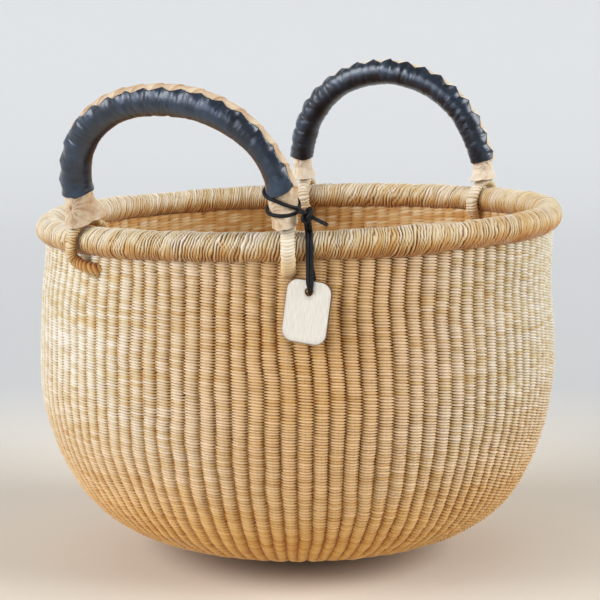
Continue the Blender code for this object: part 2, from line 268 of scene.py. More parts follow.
def moved(matrix: np.ndarray, points: np.ndarray) -> np.ndarray:
    """The points turned and carried by a 4x4 matrix: R p + t."""
    return points @ matrix[:3, :3].T + matrix[:3, 3]


def unit(vectors: np.ndarray) -> np.ndarray:
    """Each row over its own length."""
    return vectors / np.linalg.norm(vectors, axis=1)[:, None]


def lengths_along(line: np.ndarray) -> np.ndarray:
    """The length from a line's first point to each of its points."""
    steps = np.linalg.norm(np.diff(line, axis=0), axis=1)
    return np.concatenate([[0.0], np.cumsum(steps)])


def towards(azimuth: float, elevation: float) -> Vector:
    """The direction so many degrees round from -Y towards +X, and so many up."""
    around, up = math.radians(azimuth), math.radians(elevation)
    return Vector((math.sin(around) * math.cos(up), -math.cos(around) * math.cos(up),
                   math.sin(up)))


def smooth_step(x: np.ndarray) -> np.ndarray:
    """0 below 0, 1 above 1, and x x (3 - 2x) between."""
    held = np.clip(x, 0.0, 1.0)
    return held * held * (3.0 - 2.0 * held)


def wander(u: np.ndarray, v: np.ndarray | float, cells_u: int, cells_v: int,
           seed: int) -> np.ndarray:
    """Smooth random values from -1 to 1 that repeat after so many cells each way.

    Random values at the corners of each cell are blended by x x (3 - 2x) in both directions.

    Args:
        u: place along the first direction, in cells.
        v: place along the second direction, in cells.
        cells_u: cells before the pattern repeats, first direction.
        cells_v: the same for the second direction.
        seed: picks the pattern.

    Returns:
        An array of the common shape of u and v.
    """
    corners = np.random.default_rng(seed).uniform(-1.0, 1.0, (cells_v, cells_u))
    low_u, low_v = np.floor(u).astype(int), np.floor(v).astype(int)
    share_u, share_v = smooth_step(u - low_u), smooth_step(v - low_v)
    near = corners[low_v % cells_v, low_u % cells_u] * (1 - share_u)
    near = near + corners[low_v % cells_v, (low_u + 1) % cells_u] * share_u
    far = corners[(low_v + 1) % cells_v, low_u % cells_u] * (1 - share_u)
    far = far + corners[(low_v + 1) % cells_v, (low_u + 1) % cells_u] * share_u
    return near * (1 - share_v) + far * share_v


def scatter(first: np.ndarray, second: np.ndarray | int, seed: int) -> np.ndarray:
    """One random value from -1 to 1 for each pair of whole numbers, repeating after 512."""
    size = 512
    table = np.random.default_rng(seed).uniform(-1.0, 1.0, (size, size))
    return table[np.asarray(first, int) % size, np.asarray(second, int) % size]


# ---------------------------------------------------------------- finishes


@dataclass(frozen=True)
class GrassFinish:
    """Elephant grass, split and twisted dry: matte, fibrous, cream to golden brown.

    The strand's own tone, its painted shade where it lies deep, and a painted golden tint
    for warm light from below and for shade come from the piece's attributes.
    """

    name: str
    stops: tuple[tuple[float, str], ...] = (
        (0.0, "#8D5F2C"), (0.2, "#B68A4C"), (0.4, "#CFB077"), (0.57, "#DED6B4"),
        (0.74, "#ECEADC"), (1.0, "#FAFAF6"))
    # colours of the painted shade between strands, picked by the shade attribute
    gaps: tuple[tuple[float, str], ...] = ((0.0, "#55300E"), (0.35, "#97621F"),
                                           (0.75, "#C6984C"))
    # the colour that the painted golden tint (warm light from below, shade underneath) multiplies
    # towards
    golden: str = "#F1BA52"
    roughness: float = 0.58
    fibre_width_mm: float = 0.45
    fibre_length_mm: float = 9.0
    streak: float = 0.34

    def make(self) -> bpy.types.Material:
        """Builds the material: tone ramp, fibre streaks, painted shade in the gaps,
        a painted golden tint and a fine fibre bump.
        """
        made, shader = new_material(self.name, Roughness=self.roughness, IOR=1.45,
                                    Specular_IOR_Level=0.35, Sheen_Weight=0.3,
                                    Sheen_Roughness=0.5)
        tree = made.node_tree
        shade = attribute(tree, "shade")
        strand = add_node(tree, "ShaderNodeUVMap", uv_map="strand")
        scale = (10 / self.fibre_length_mm, 10 / self.fibre_width_mm, 1.0)
        drawn = add_node(tree, "ShaderNodeMapping", {"Vector": strand, "Scale": scale})
        fibres = add_node(tree, "ShaderNodeTexNoise",
                          {"Vector": drawn, "Scale": 1.0, "Detail": 4.0, "Roughness": 0.6})
        spread = add_node(tree, "ShaderNodeMath", {0: fibres, 1: 0.5}, operation="SUBTRACT")
        mixed = add_node(tree, "ShaderNodeMath",
                         {0: spread, 1: self.streak, 2: attribute(tree, "tone")},
                         operation="MULTIPLY_ADD")
        straw = add_node(tree, "ShaderNodeValToRGB", {"Fac": mixed}, ramp=self.stops)
        # painted shade: the shade attribute darkens the straw towards these colours in gaps and
        # grooves
        between = add_node(tree, "ShaderNodeValToRGB", {"Fac": shade}, ramp=self.gaps)
        colour = add_node(tree, "ShaderNodeMix",
                          {0: shade, 6: between, 7: straw}, out=2, data_type="RGBA")
        # painted golden tint: warm light from below and shade underneath, multiplied into the
        # colour
        colour = add_node(tree, "ShaderNodeMix",
                          {0: attribute(tree, "aged"), 6: colour, 7: linear(self.golden)},
                          out=2, data_type="RGBA", blend_type="MULTIPLY")
        connect(shader, colour, fibres, strength=0.5, depth=0.0003)
        return made


@dataclass(frozen=True)
class GoatLeather:
    """Thin dyed goat leather over a bundle: a soft sheen on fine grain and creases."""

    name: str
    # ramp colours from painted shade in folds, through the leather's own colour, to a painted
    # highlight on ridges
    deep: str
    middle: str
    painted_light: str
    roughness: float = 0.40
    grain_mm: float = 1.1
    coat: float = 0.3
    sheen: str = "#FFFFFF"

    def make(self) -> bpy.types.Material:
        """Builds the material: cloudy dye, pebble grain, and from the attribute painted shade
        in the creases and folds and a painted highlight on the ridges.
        """
        made, shader = new_material(self.name, IOR=1.5, Roughness=self.roughness,
                                    Coat_Weight=self.coat, Coat_Roughness=0.29,
                                    Specular_Tint=linear(self.sheen))
        tree = made.node_tree
        place = add_node(tree, "ShaderNodeTexCoord", out="Object")
        clouds = add_node(tree, "ShaderNodeTexNoise",
                          {"Vector": place, "Scale": 90.0, "Detail": 5.0, "Roughness": 0.65})
        # the crease attribute paints shade in folds and highlights on ridges, over cloudy dye
        painted_light = add_node(tree, "ShaderNodeMath",
                        {0: attribute(tree, "crease"), 1: 0.45, 2: clouds},
                        operation="MULTIPLY_ADD")
        colour = add_node(tree, "ShaderNodeValToRGB", {"Fac": painted_light},
                          ramp=((0.3, self.deep), (0.55, self.middle), (0.95, self.painted_light)))
        grain = add_node(tree, "ShaderNodeTexVoronoi",
                         {"Vector": place, "Scale": 1000 / self.grain_mm}, out="Distance")
        fine = add_node(tree, "ShaderNodeTexNoise",
                        {"Vector": place, "Scale": 420.0, "Detail": 4.0})
        height = add_node(tree, "ShaderNodeMath", {0: grain, 1: 0.5, 2: fine},
                          operation="MULTIPLY_ADD")
        connect(shader, colour, height, strength=0.55, depth=0.00045)
        return made


@dataclass(frozen=True)
class WaxedCord:
    """Waxed cotton cord: near black, with a dull shine on its twisted plies."""

    name: str = "waxed_black_cord"

    def make(self) -> bpy.types.Material:
        """Builds the material: near black with a fine thread bump."""
        made, shader = new_material(self.name, Roughness=0.6, Specular_IOR_Level=0.28)
        tree = made.node_tree
        place = add_node(tree, "ShaderNodeTexCoord", out="Object")
        threads = add_node(tree, "ShaderNodeTexNoise",
                           {"Vector": place, "Scale": 900.0, "Detail": 3.0})
        colour = add_node(tree, "ShaderNodeValToRGB", {"Fac": threads},
                          ramp=((0.3, "#060709"), (0.7, "#17181C")))
        connect(shader, colour, threads, strength=0.6, depth=0.0003)
        return made


@dataclass(frozen=True)
class CutPlywood:
    """Birch plywood cut by laser: pale smooth faces, and edges burnt dark brown."""

    name: str = "laser_cut_birch"

    def make(self) -> bpy.types.Material:
        """Builds the material: faint grain up the board, burnt where the attribute says."""
        made, shader = new_material(self.name, Roughness=0.5, Specular_IOR_Level=0.35)
        tree = made.node_tree
        board = add_node(tree, "ShaderNodeUVMap", uv_map="strand")
        grain = add_node(tree, "ShaderNodeMapping", {"Vector": board, "Scale": (9.0, 0.8, 1.0)})
        rings = add_node(tree, "ShaderNodeTexNoise",
                         {"Vector": grain, "Scale": 1.6, "Detail": 5.0, "Distortion": 0.4})
        wood = add_node(tree, "ShaderNodeValToRGB", {"Fac": rings},
                        ramp=((0.3, "#D6CFC0"), (0.55, "#E2DCCF"), (0.8, "#EBE7DD")))
        colour = add_node(tree, "ShaderNodeMix",
                          {0: attribute(tree, "burnt"), 6: wood, 7: linear("#54351C")},
                          out=2, data_type="RGBA")
        connect(shader, colour)
        return made


# ---------------------------------------------------------------- the basket's shape


@dataclass(frozen=True)
class Lean:
    """The small lean of the basket's upper part, and the rim's frame on it."""

    degrees: float = 1.6
    towards_degrees: float = 27.2
    rim_height: float = 0.269
    straight_share: float = 0.855
    ring_radius: float = 0.1996

    def matrix(self) -> np.ndarray:
        """The rim's frame as a 4x4 matrix."""
        turn = Matrix.Rotation(math.radians(self.towards_degrees), 4, "Z")
        tilt = turn @ Matrix.Rotation(-math.radians(self.degrees), 4, "Y") @ turn.inverted()
        return np.array(Matrix.Translation((0.0, 0.0, self.rim_height)) @ tilt)

    def apply(self, points: np.ndarray) -> np.ndarray:
        """p + (q - p) e e (3 - 2e), with q the point turned about the rim's middle.

        Args:
            points: any shape x 3, of the upright basket.

        Returns:
            The leaning points; e is z over the height where the wall is straight.
        """
        lowered = points - np.array((0.0, 0.0, self.rim_height))
        turned = moved(self.matrix(), lowered)
        share = smooth_step(points[..., 2:3] / (self.straight_share * self.rim_height))
        return points + (turned - points) * share


@dataclass
class WovenBody:
    """The twined wall and base: strands over upright stakes, outside and inside."""

    lean: Lean
    material: bpy.types.Material
    top_radius: float = 0.2020
    height_shares: tuple[float, ...] = (0.0, 0.011, 0.030, 0.052, 0.074, 0.123, 0.186, 0.279,
                                        0.390, 0.520, 0.669, 0.799, 0.911)
    radius_shares: tuple[float, ...] = (0.248, 0.307, 0.401, 0.515, 0.621, 0.752, 0.848, 0.926,
                                        0.983, 1.017, 1.017, 1.007, 1.0)
    thickness: float = 0.007
    wall_top: float = 0.2614
    centre_radius: float = 0.011
    ribs: int = 108
    rib_depth: float = 0.0026
    row_pitch: float = 0.00218
    base_row_share: float = 1.46
    strand_depth: float = 0.0018
    hole_depth: float = 0.0008
    crest_tone: float = 0.74
    # painted shade: how far the tone falls in the grooves between ribs
    groove_shade_drop: float = 0.30
    strand_tone_spread: float = 0.13
    run_tone_spread: float = 0.08
    patch_tone_spread: float = 0.07
    # how dark the painted shade between strands is: on the crest, more in the groove, and at
    # random
    crest_gap: float = 0.56
    groove_gap: float = 0.56
    gap_spread: float = 0.20
    lining_tone: float = 0.47
    row_samples: int = 4
    inner_row_samples: int = 3
    inner_row_share: float = 1.2
    slant_rows: float = 0.58
    crest_stand: float = 0.0015
    belly_shift: float = 0.0036
    # where the painted golden tint lies round the wall and how high it reaches, and its even
    # strength on the inner side
    golden_towards_degrees: float = -60.0
    golden_height: float = 0.19
    golden_lobes: float = 0.72
    proud_ribs_degrees: float = 20.0
    inner_golden_tint: float = 0.42
    split_at: float = 0.118
    second_split_at: float = 0.052
    split_run: float = 0.012
    outer_bands: int = 6
    inner_bands: int = 2
    outer_columns: tuple[float, ...] = (0.0, 0.08, 0.25, 0.5, 0.75, 0.92)
    inner_columns: tuple[float, ...] = (0.0, 0.33, 0.67)

    def radius(self, height: np.ndarray) -> np.ndarray:
        """The wall's radius by Hermite curves through the table, as the solid has it."""
        heights = np.array(self.height_shares) * self.lean.rim_height
        radii = np.array(self.radius_shares) * self.top_radius
        slopes = np.gradient(radii, heights)
        index = np.clip(np.searchsorted(heights, height) - 1, 0, len(heights) - 2)
        width = heights[index + 1] - heights[index]
        share = (height - heights[index]) / width
        square, cube = share * share, share * share * share
        return (radii[index] * (2 * cube - 3 * square + 1)
                + slopes[index] * width * (cube - 2 * square + share)
                + radii[index + 1] * (3 * square - 2 * cube)
                + slopes[index + 1] * width * (cube - square))

    def profile(self, inset: float) -> tuple[np.ndarray, np.ndarray, np.ndarray]:
        """The wall's section from the middle of the base to the top.

        Args:
            inset: how far in from the outer side, square to it.

        Returns:
            Length along the section, points (radius, height), and outward directions.
        """
        last = self.height_shares[-1] * self.lean.rim_height
        heights = last * np.linspace(0.0, 1.0, 1600) ** 2
        side = np.stack([self.radius(heights), heights], axis=1)
        first = side[0, 0]
        flat = np.stack([np.linspace(self.centre_radius, first, 60), np.zeros(60)], axis=1)
        top = np.stack([np.full(12, self.top_radius), np.linspace(last, self.wall_top, 13)[1:]],
                       axis=1)
        line = np.concatenate([flat[:-1], side, top])
        length = lengths_along(line)
        even = np.linspace(0.0, length[-1], 2400)
        line = np.stack([np.interp(even, length, line[:, k]) for k in (0, 1)], axis=1)
        along = np.gradient(line, axis=0)
        blurred_over = 41
        blur = np.ones(blurred_over) / blurred_over
        padded = np.pad(along, ((blurred_over // 2,) * 2, (0, 0)), mode="edge")
        along = unit(np.stack([np.convolve(padded[:, k], blur, mode="valid") for k in (0, 1)],
                              axis=1))
        outward = np.stack([along[:, 1], -along[:, 0]], axis=1)
        return even, line - outward * inset, outward

    @staticmethod
    def groove_fall(groove: np.ndarray) -> np.ndarray:
        """How far a round rib has fallen, from 0 on its crest to 1 in its groove."""
        fullness = 0.94
        return (1 - np.sqrt(1 - (fullness * groove) ** 2)) / (1 - math.sqrt(1 - fullness ** 2))

    def weave(self, rib: np.ndarray, row: np.ndarray, arc: np.ndarray, height: np.ndarray,
              seed: int) -> tuple[np.ndarray, np.ndarray, np.ndarray]:
        """The relief and tone of the twining, with painted shade in the grooves, between the
        strands and in the holes.

        With c from 0 on a rib's crest to 1 in its groove, the rib falls by
        1 - sqrt(1 - (0.94 c)^2). A strand crosses each rib on a slant, so its phase is
        p = row + slant (f - 1/2), f across the rib, and it falls by (1 - cos 2 pi p) / 2.
        Towards the base two ribs join in one, and then two again.

        Args:
            rib: place round the basket, in ribs.
            row: place up the section, in rows.
            arc: length along the section, in metres.
            height: height over the table, in metres.
            seed: picks the random tones.

        Returns:
            Relief in metres (0 on the crest, negative below), tone and shade.
        """
        rib = rib + 0.20 * wander(rib / 9, row / 26, 12, 9, seed) + 0.08 * wander(
            rib / 3, row / 9, 36, 31, seed + 1)
        row = row + 0.9 * wander(rib / 12, row / 30, 9, 9, seed + 2) + 0.18 * wander(
            rib / 2, row / 5, 54, 41, seed + 3)
        pair, four = np.floor(rib / 2), np.floor(rib / 4)
        apart = smooth_step((arc - self.split_at - 0.012 * scatter(pair, 0, seed + 4))
                            / self.split_run)
        apart_low = smooth_step((arc - self.second_split_at
                                 - 0.006 * scatter(four, 0, seed + 5)) / self.split_run)

        def across(count: float) -> np.ndarray:
            """Place across a rib of so many stakes, from 0 to 1."""
            return rib / count - np.floor(rib / count)

        one, two, wide = across(1), across(2), across(4)
        groove = (apart * np.abs(2 * one - 1) + (1 - apart) * (
            apart_low * np.abs(2 * two - 1) + (1 - apart_low) * np.abs(2 * wide - 1)))
        place = np.where(apart > 0.5, one, np.where(apart_low > 0.5, two, wide))
        phase = row + self.slant_rows * (place - 0.5)
        strand = np.cos(TAU * phase)
        number = np.round(phase)
        rib_fall = self.groove_fall(groove)
        lift = 0.16 * scatter(np.floor(rib), number, seed + 6)
        hole = smooth_step((groove - 0.82 - 0.26 * strand) / 0.24)
        relief = -self.rib_depth * (rib_fall + 0.16 * wander(rib, row / 14, 108, 17, seed + 7)
                                    - 0.16)
        relief = relief - self.strand_depth * ((1 - strand) / 2 - lift) - self.hole_depth * hole
        run = wander(rib / 9, number * 7.3, 12, 1499, seed + 8)
        patch = wander(rib / 6, row / 11, 18, 23, seed + 9)
        # Tone: random runs, strands and patches, a painted golden darkening towards the base for
        # warm light from below, and painted shade in the grooves.
        tone = (self.crest_tone + self.run_tone_spread * run
                + self.strand_tone_spread * scatter(np.floor(rib), number, seed + 10)
                + self.patch_tone_spread * patch
                + 0.05 * wander(rib / 18, row / 8, 6, 31, seed + 11)
                - 0.03 * (1 - smooth_step((height + 0.01) / 0.15))
                - self.groove_shade_drop * groove ** 2)
        # Shade: painted shade between the strands, stronger in the grooves, and in the holes
        # between ribs.
        gap = ((1 - strand) / 2) ** 1.2
        loose = (self.crest_gap + self.groove_gap * groove ** 2
                 + self.gap_spread * scatter(np.floor(rib), number, seed + 12))
        shade = 1 - loose * gap - 0.5 * hole
        return relief, np.clip(tone, *TONE_RANGE), np.clip(shade, 0.0, 1.0)

    def lining(self, rib: np.ndarray, row: np.ndarray,
               seed: int) -> tuple[np.ndarray, np.ndarray, np.ndarray]:
        """The relief and tone inside: short slanted stitches, in line from row to row.

        With f across a stake, a strand falls by (1 - cos 2 pi p) / 2 for the phase
        p = row + (f - 1/2) / 2, and by (2 f - 1)^2 towards the stake's sides.

        Args:
            rib: place round the basket, in ribs.
            row: place up the section, in rows.
            seed: picks the random tones.

        Returns:
            Relief in metres (0 on the crest, negative below), tone and shade.
        """
        row = row + 0.5 * wander(rib / 9, row / 20, 12, 13, seed + 1) + 0.25 * wander(
            rib / 1.5, row / 3, 72, 41, seed + 2)
        rib = rib + 0.12 * wander(rib / 4, row / 5, 27, 61, seed)
        place = rib - np.floor(rib)
        phase = row + 0.5 * (place - 0.5)
        number = np.round(phase)
        strand, side = np.cos(TAU * phase), (2 * place - 1) ** 2
        relief = -0.0006 * (1 - strand) / 2 - 0.0008 * side
        # Tone and shade: painted shade towards each stake's sides and between the strands, with
        # random stitches.
        tone = (self.lining_tone - 0.12 * side + 0.17 * scatter(np.floor(rib), number, seed + 3)
                + 0.10 * wander(rib / 6, number * 5.1, 18, 499, seed + 4))
        shade = 1 - 0.60 * ((1 - strand) / 2) ** 2 - 0.40 * side ** 2
        return relief, np.clip(tone, *TONE_RANGE), np.clip(shade, 0.0, 1.0)

    def side(self, outside: bool) -> dict[str, np.ndarray]:
        """The whole grid of the outer or the inner side.

        The rows are closer from half way up. The ribs stand out more towards one side. A golden
        tint is painted low down, for warm light from below, and in two lobes, cos(2 (angle - a)),
        round the wall, as painted shade where the wall faces the camera and opposite it.

        Args:
            outside: the outer side, and otherwise the inner one.

        Returns:
            Points, tones, shades and the pattern's coordinates.
        """
        columns = np.array(self.outer_columns if outside else self.inner_columns)
        rib = (np.arange(self.ribs)[:, None] + columns).ravel()
        arc, line, outward = self.profile(0.0 if outside else self.thickness)
        pitch = self.row_pitch * (1 + (self.base_row_share - 1) * (
            1 - smooth_step((arc - 0.13) / 0.13))) * (1.0 if outside else self.inner_row_share)
        counted = np.cumsum(arc[1] / pitch)
        samples = self.row_samples if outside else self.inner_row_samples
        row = np.arange(int(counted[-1]) * samples + 1) / samples
        at = np.interp(row, counted, arc)
        radius, height = np.interp(at, arc, line[:, 0]), np.interp(at, arc, line[:, 1])
        out_r, out_z = np.interp(at, arc, outward[:, 0]), np.interp(at, arc, outward[:, 1])
        grid_rib, grid_row = np.meshgrid(rib, row)
        angle = grid_rib * TAU / self.ribs
        proud = 0.76 + 0.48 * np.cos(angle + math.radians(self.proud_ribs_degrees))
        narrow = np.clip(radius / 0.2, 0.35, 1.0)[:, None]
        if outside:
            relief, tone, shade = self.weave(grid_rib, grid_row, at[:, None],
                                             height[:, None], 11)
            stand = relief * (narrow * proud) + (
                self.crest_stand * smooth_step(height / 0.03)[:, None])
        else:
            relief, tone, shade = self.lining(grid_rib, grid_row, 71)
            stand = -relief - self.crest_stand
        reach = radius[:, None] + out_r[:, None] * stand
        points = np.stack([reach * np.cos(angle), reach * np.sin(angle),
                           height[:, None] + out_z[:, None] * stand], axis=-1)
        points[..., 2] = np.maximum(points[..., 2], 0.0)
        belly = smooth_step((height - 0.03) / 0.11) * smooth_step((0.262 - height) / 0.05)
        aside = math.radians(self.lean.towards_degrees)
        points[..., 0] -= self.belly_shift * math.cos(aside) * belly[:, None]
        points[..., 1] -= self.belly_shift * math.sin(aside) * belly[:, None]
        pitch_cm = TAU * self.top_radius / self.ribs * CM_IN_METRE
        # painted golden tint: low down for warm light from below, and in two lobes as painted
        # shade where the wall faces the camera; one even tint inside
        lobes = 0.5 + 0.5 * np.cos(2 * (angle - math.radians(self.golden_towards_degrees)))
        aged = np.maximum(1.0 - smooth_step((height - 0.004) / self.golden_height)[:, None],
                          self.golden_lobes * lobes ** 2.3)
        return {"points": self.lean.apply(points), "tone": tone, "shade": shade,
                "aged": aged if outside else np.full_like(aged, self.inner_golden_tint),
                "u": np.append(rib, self.ribs) * pitch_cm, "v": at * CM_IN_METRE}

    def build(self) -> list[bpy.types.Object]:
        """Builds both sides in bands, each short of the limit for one piece."""
        pieces = []
        for outside, bands in ((True, self.outer_bands), (False, self.inner_bands)):
            grid = self.side(outside)
            edges = np.linspace(0, len(grid["v"]) - 1, bands + 1).astype(int)
            for number, (low, high) in enumerate(zip(edges, edges[1:]), start=1):
                rows = slice(low, high + 1)
                name = f"woven_{'wall' if outside else 'lining'}_{number}"
                mesh = surface_mesh(name, grid["points"][rows], closed_u=True,
                                    u_values=grid["u"], v_values=grid["v"][rows],
                                    flip=not outside, tone=grid["tone"][rows],
                                    shade=grid["shade"][rows], aged=grid["aged"][rows])
                pieces.append(add_piece(name, mesh, self.material, "basket", "woven_straw",
                                        "woven_body"))
        pieces.append(self.start_knot())
        return pieces

    def start_knot(self) -> bpy.types.Object:
        """The middle of the base, where the first stakes cross: a low woven button.

        Height is a dome, 1 - (r / R)^2, with crossing strands of cos(x) cos(y).
        """
        radius = self.centre_radius + 0.0012
        rings, columns = 26, 64
        spread = np.linspace(0.0, 1.0, rings)
        angle = np.arange(columns) * TAU / columns
        x = radius * spread[:, None] * np.cos(angle)
        y = radius * spread[:, None] * np.sin(angle)
        pitch = 0.0019
        weave = np.cos(x / pitch * math.pi) * np.cos(y / pitch * math.pi)
        top = self.thickness + 0.0002 + 0.0008 * (1 - spread[:, None] ** 2) + 0.0004 * weave
        bottom = 0.0009 * spread[:, None] ** 2 + 0.0003 * (1 + weave)
        upper = np.stack([x, y, top], axis=-1)
        lower = np.stack([x, y, bottom], axis=-1)[::-1]
        upper[0], lower[-1] = upper[0, 0], lower[-1, 0]
        points = np.concatenate([lower[::-1], upper[::-1]])
        # painted shade where the crossing strands dip
        shade = np.clip(0.75 + 0.5 * np.concatenate([weave, weave[::-1]]), 0.2, 1.0)
        mesh = surface_mesh("base_start", points, closed_u=True,
                            u_values=np.arange(columns + 1) * 0.1,
                            v_values=np.arange(2 * rings) * 0.1, tone=0.5 + 0 * shade, shade=shade)
        return add_piece("base_start", mesh, self.material, "basket", "woven_straw")


@dataclass
class Rim:
    """The thick rim: a bundle wrapped close with slanting strands of grass."""

    lean: Lean
    material: bpy.types.Material
    radius: float = 0.0106
    wraps: int = 500
    slant: int = 8
    wrap_samples: int = 6
    section_samples: int = 30
    wrap_depth: float = 0.0011
    wrap_cm: float = 0.251
    section_cm: float = 0.222
    middle_tone: float = 0.69
    strand_tone_spread: float = 0.12
    # painted shade: darker below and on the front right, and the lines between wraps darkest
    # towards the front
    underside_shade_drop: float = 0.27
    front_right_shade_tone_drop: float = 0.13
    front_right_shade_degrees: float = 22.0
    loose_degrees: float = 50.0

    def build(self) -> bpy.types.Object:
        """Builds the rim as one closed tube round the ring.

        With a round the ring and t round its section, the strand's phase is
        p = n a / 2 pi - m t / 2 pi, and the radius falls by (1 - |cos pi p|) between strands.
        Painted shade makes the strands darker below, on the front right and behind, and the
        lines between them darker towards the front and below.
        """
        columns = self.wraps * self.wrap_samples
        around = np.arange(columns) / self.wrap_samples
        turn = -math.pi / 2 + np.arange(self.section_samples) * TAU / self.section_samples
        a, t = np.meshgrid(around, turn)
        bent = a + 8.0 * wander(a / 50, 0.0, 10, 1, 2) + 0.6 * wander(
            a / 2.5, (t + 2) * 1.2, 200, 23, 3) + 0.25 * wander(a, (t + 2) * 2.3, 500, 41, 4)
        phase = bent - self.slant * (t + math.pi / 2) / TAU
        strand = np.abs(np.cos(math.pi * phase))
        number = np.round(phase)
        group = np.floor(number / 11 + 0.4 * scatter(np.floor(number / 11), 0, 5))
        swell = 0.00055 * wander(a / 10, 0.0, 50, 1, 6) + 0.0003 * scatter(group, 0, 7)
        height = (swell - self.wrap_depth * (1 - strand)
                  + 0.00040 * scatter(number, 0, 8) * strand)
        reach = self.radius + 0.0003 + height
        ring = a * TAU / self.wraps
        outward = self.lean.ring_radius + reach * np.cos(t)
        points = np.stack([outward * np.cos(ring), outward * np.sin(ring), reach * np.sin(t)],
                          axis=-1)
        # the underside of the rim, painted darker and more golden as shade
        low = smooth_step(0.35 - 0.75 * np.sin(t))
        tone = (self.middle_tone + self.strand_tone_spread * scatter(number, 0, 9)
                + 0.05 * scatter(group, 0, 10)
                + 0.09 * wander(a / 2, (t + 2) * 2, 250, 23, 11) - self.underside_shade_drop * low)
        # painted shade on the front right of the rim
        front_right_shade = (0.5 + 0.5 * np.cos(ring + math.radians(self.front_right_shade_degrees))) ** 3
        # painted shade behind: darker and more golden, with fainter lines between wraps
        behind = 0.5 + 0.5 * np.sin(ring)
        tone = tone - self.front_right_shade_tone_drop * front_right_shade - 0.05 * behind
        # painted shade in the lines between wraps, at random per wrap, darker towards the front
        # and below
        loose = (1.0 + 0.6 * scatter(number, 1, 12)) * (
            0.98 + 0.08 * np.cos(ring + math.radians(self.loose_degrees)) - 0.32 * behind)
        shade = 1 - 1.45 * loose * (1 - strand) ** 1.2 - 0.40 * low * (1 - strand)
        mesh = surface_mesh("wrapped_rim", moved(self.lean.matrix(), points), closed_u=True,
                            closed_v=True, strands_up=True,
                            u_values=np.append(around, self.wraps) * self.wrap_cm,
                            v_values=np.arange(self.section_samples + 1) * self.section_cm,
                            # painted golden tint: a little all round, more below, on the front
                            # right and behind
                            aged=0.11 + 0.45 * low + 0.07 * front_right_shade + 0.12 * behind,
                            tone=np.clip(tone, *TONE_RANGE),
                            shade=np.clip(shade, 0.0, 1.0))
        return add_piece("wrapped_rim", mesh, self.material, "basket", "wrapped_straw",
                         "rim_wrap", "rim_core")


# ---------------------------------------------------------------- the handles


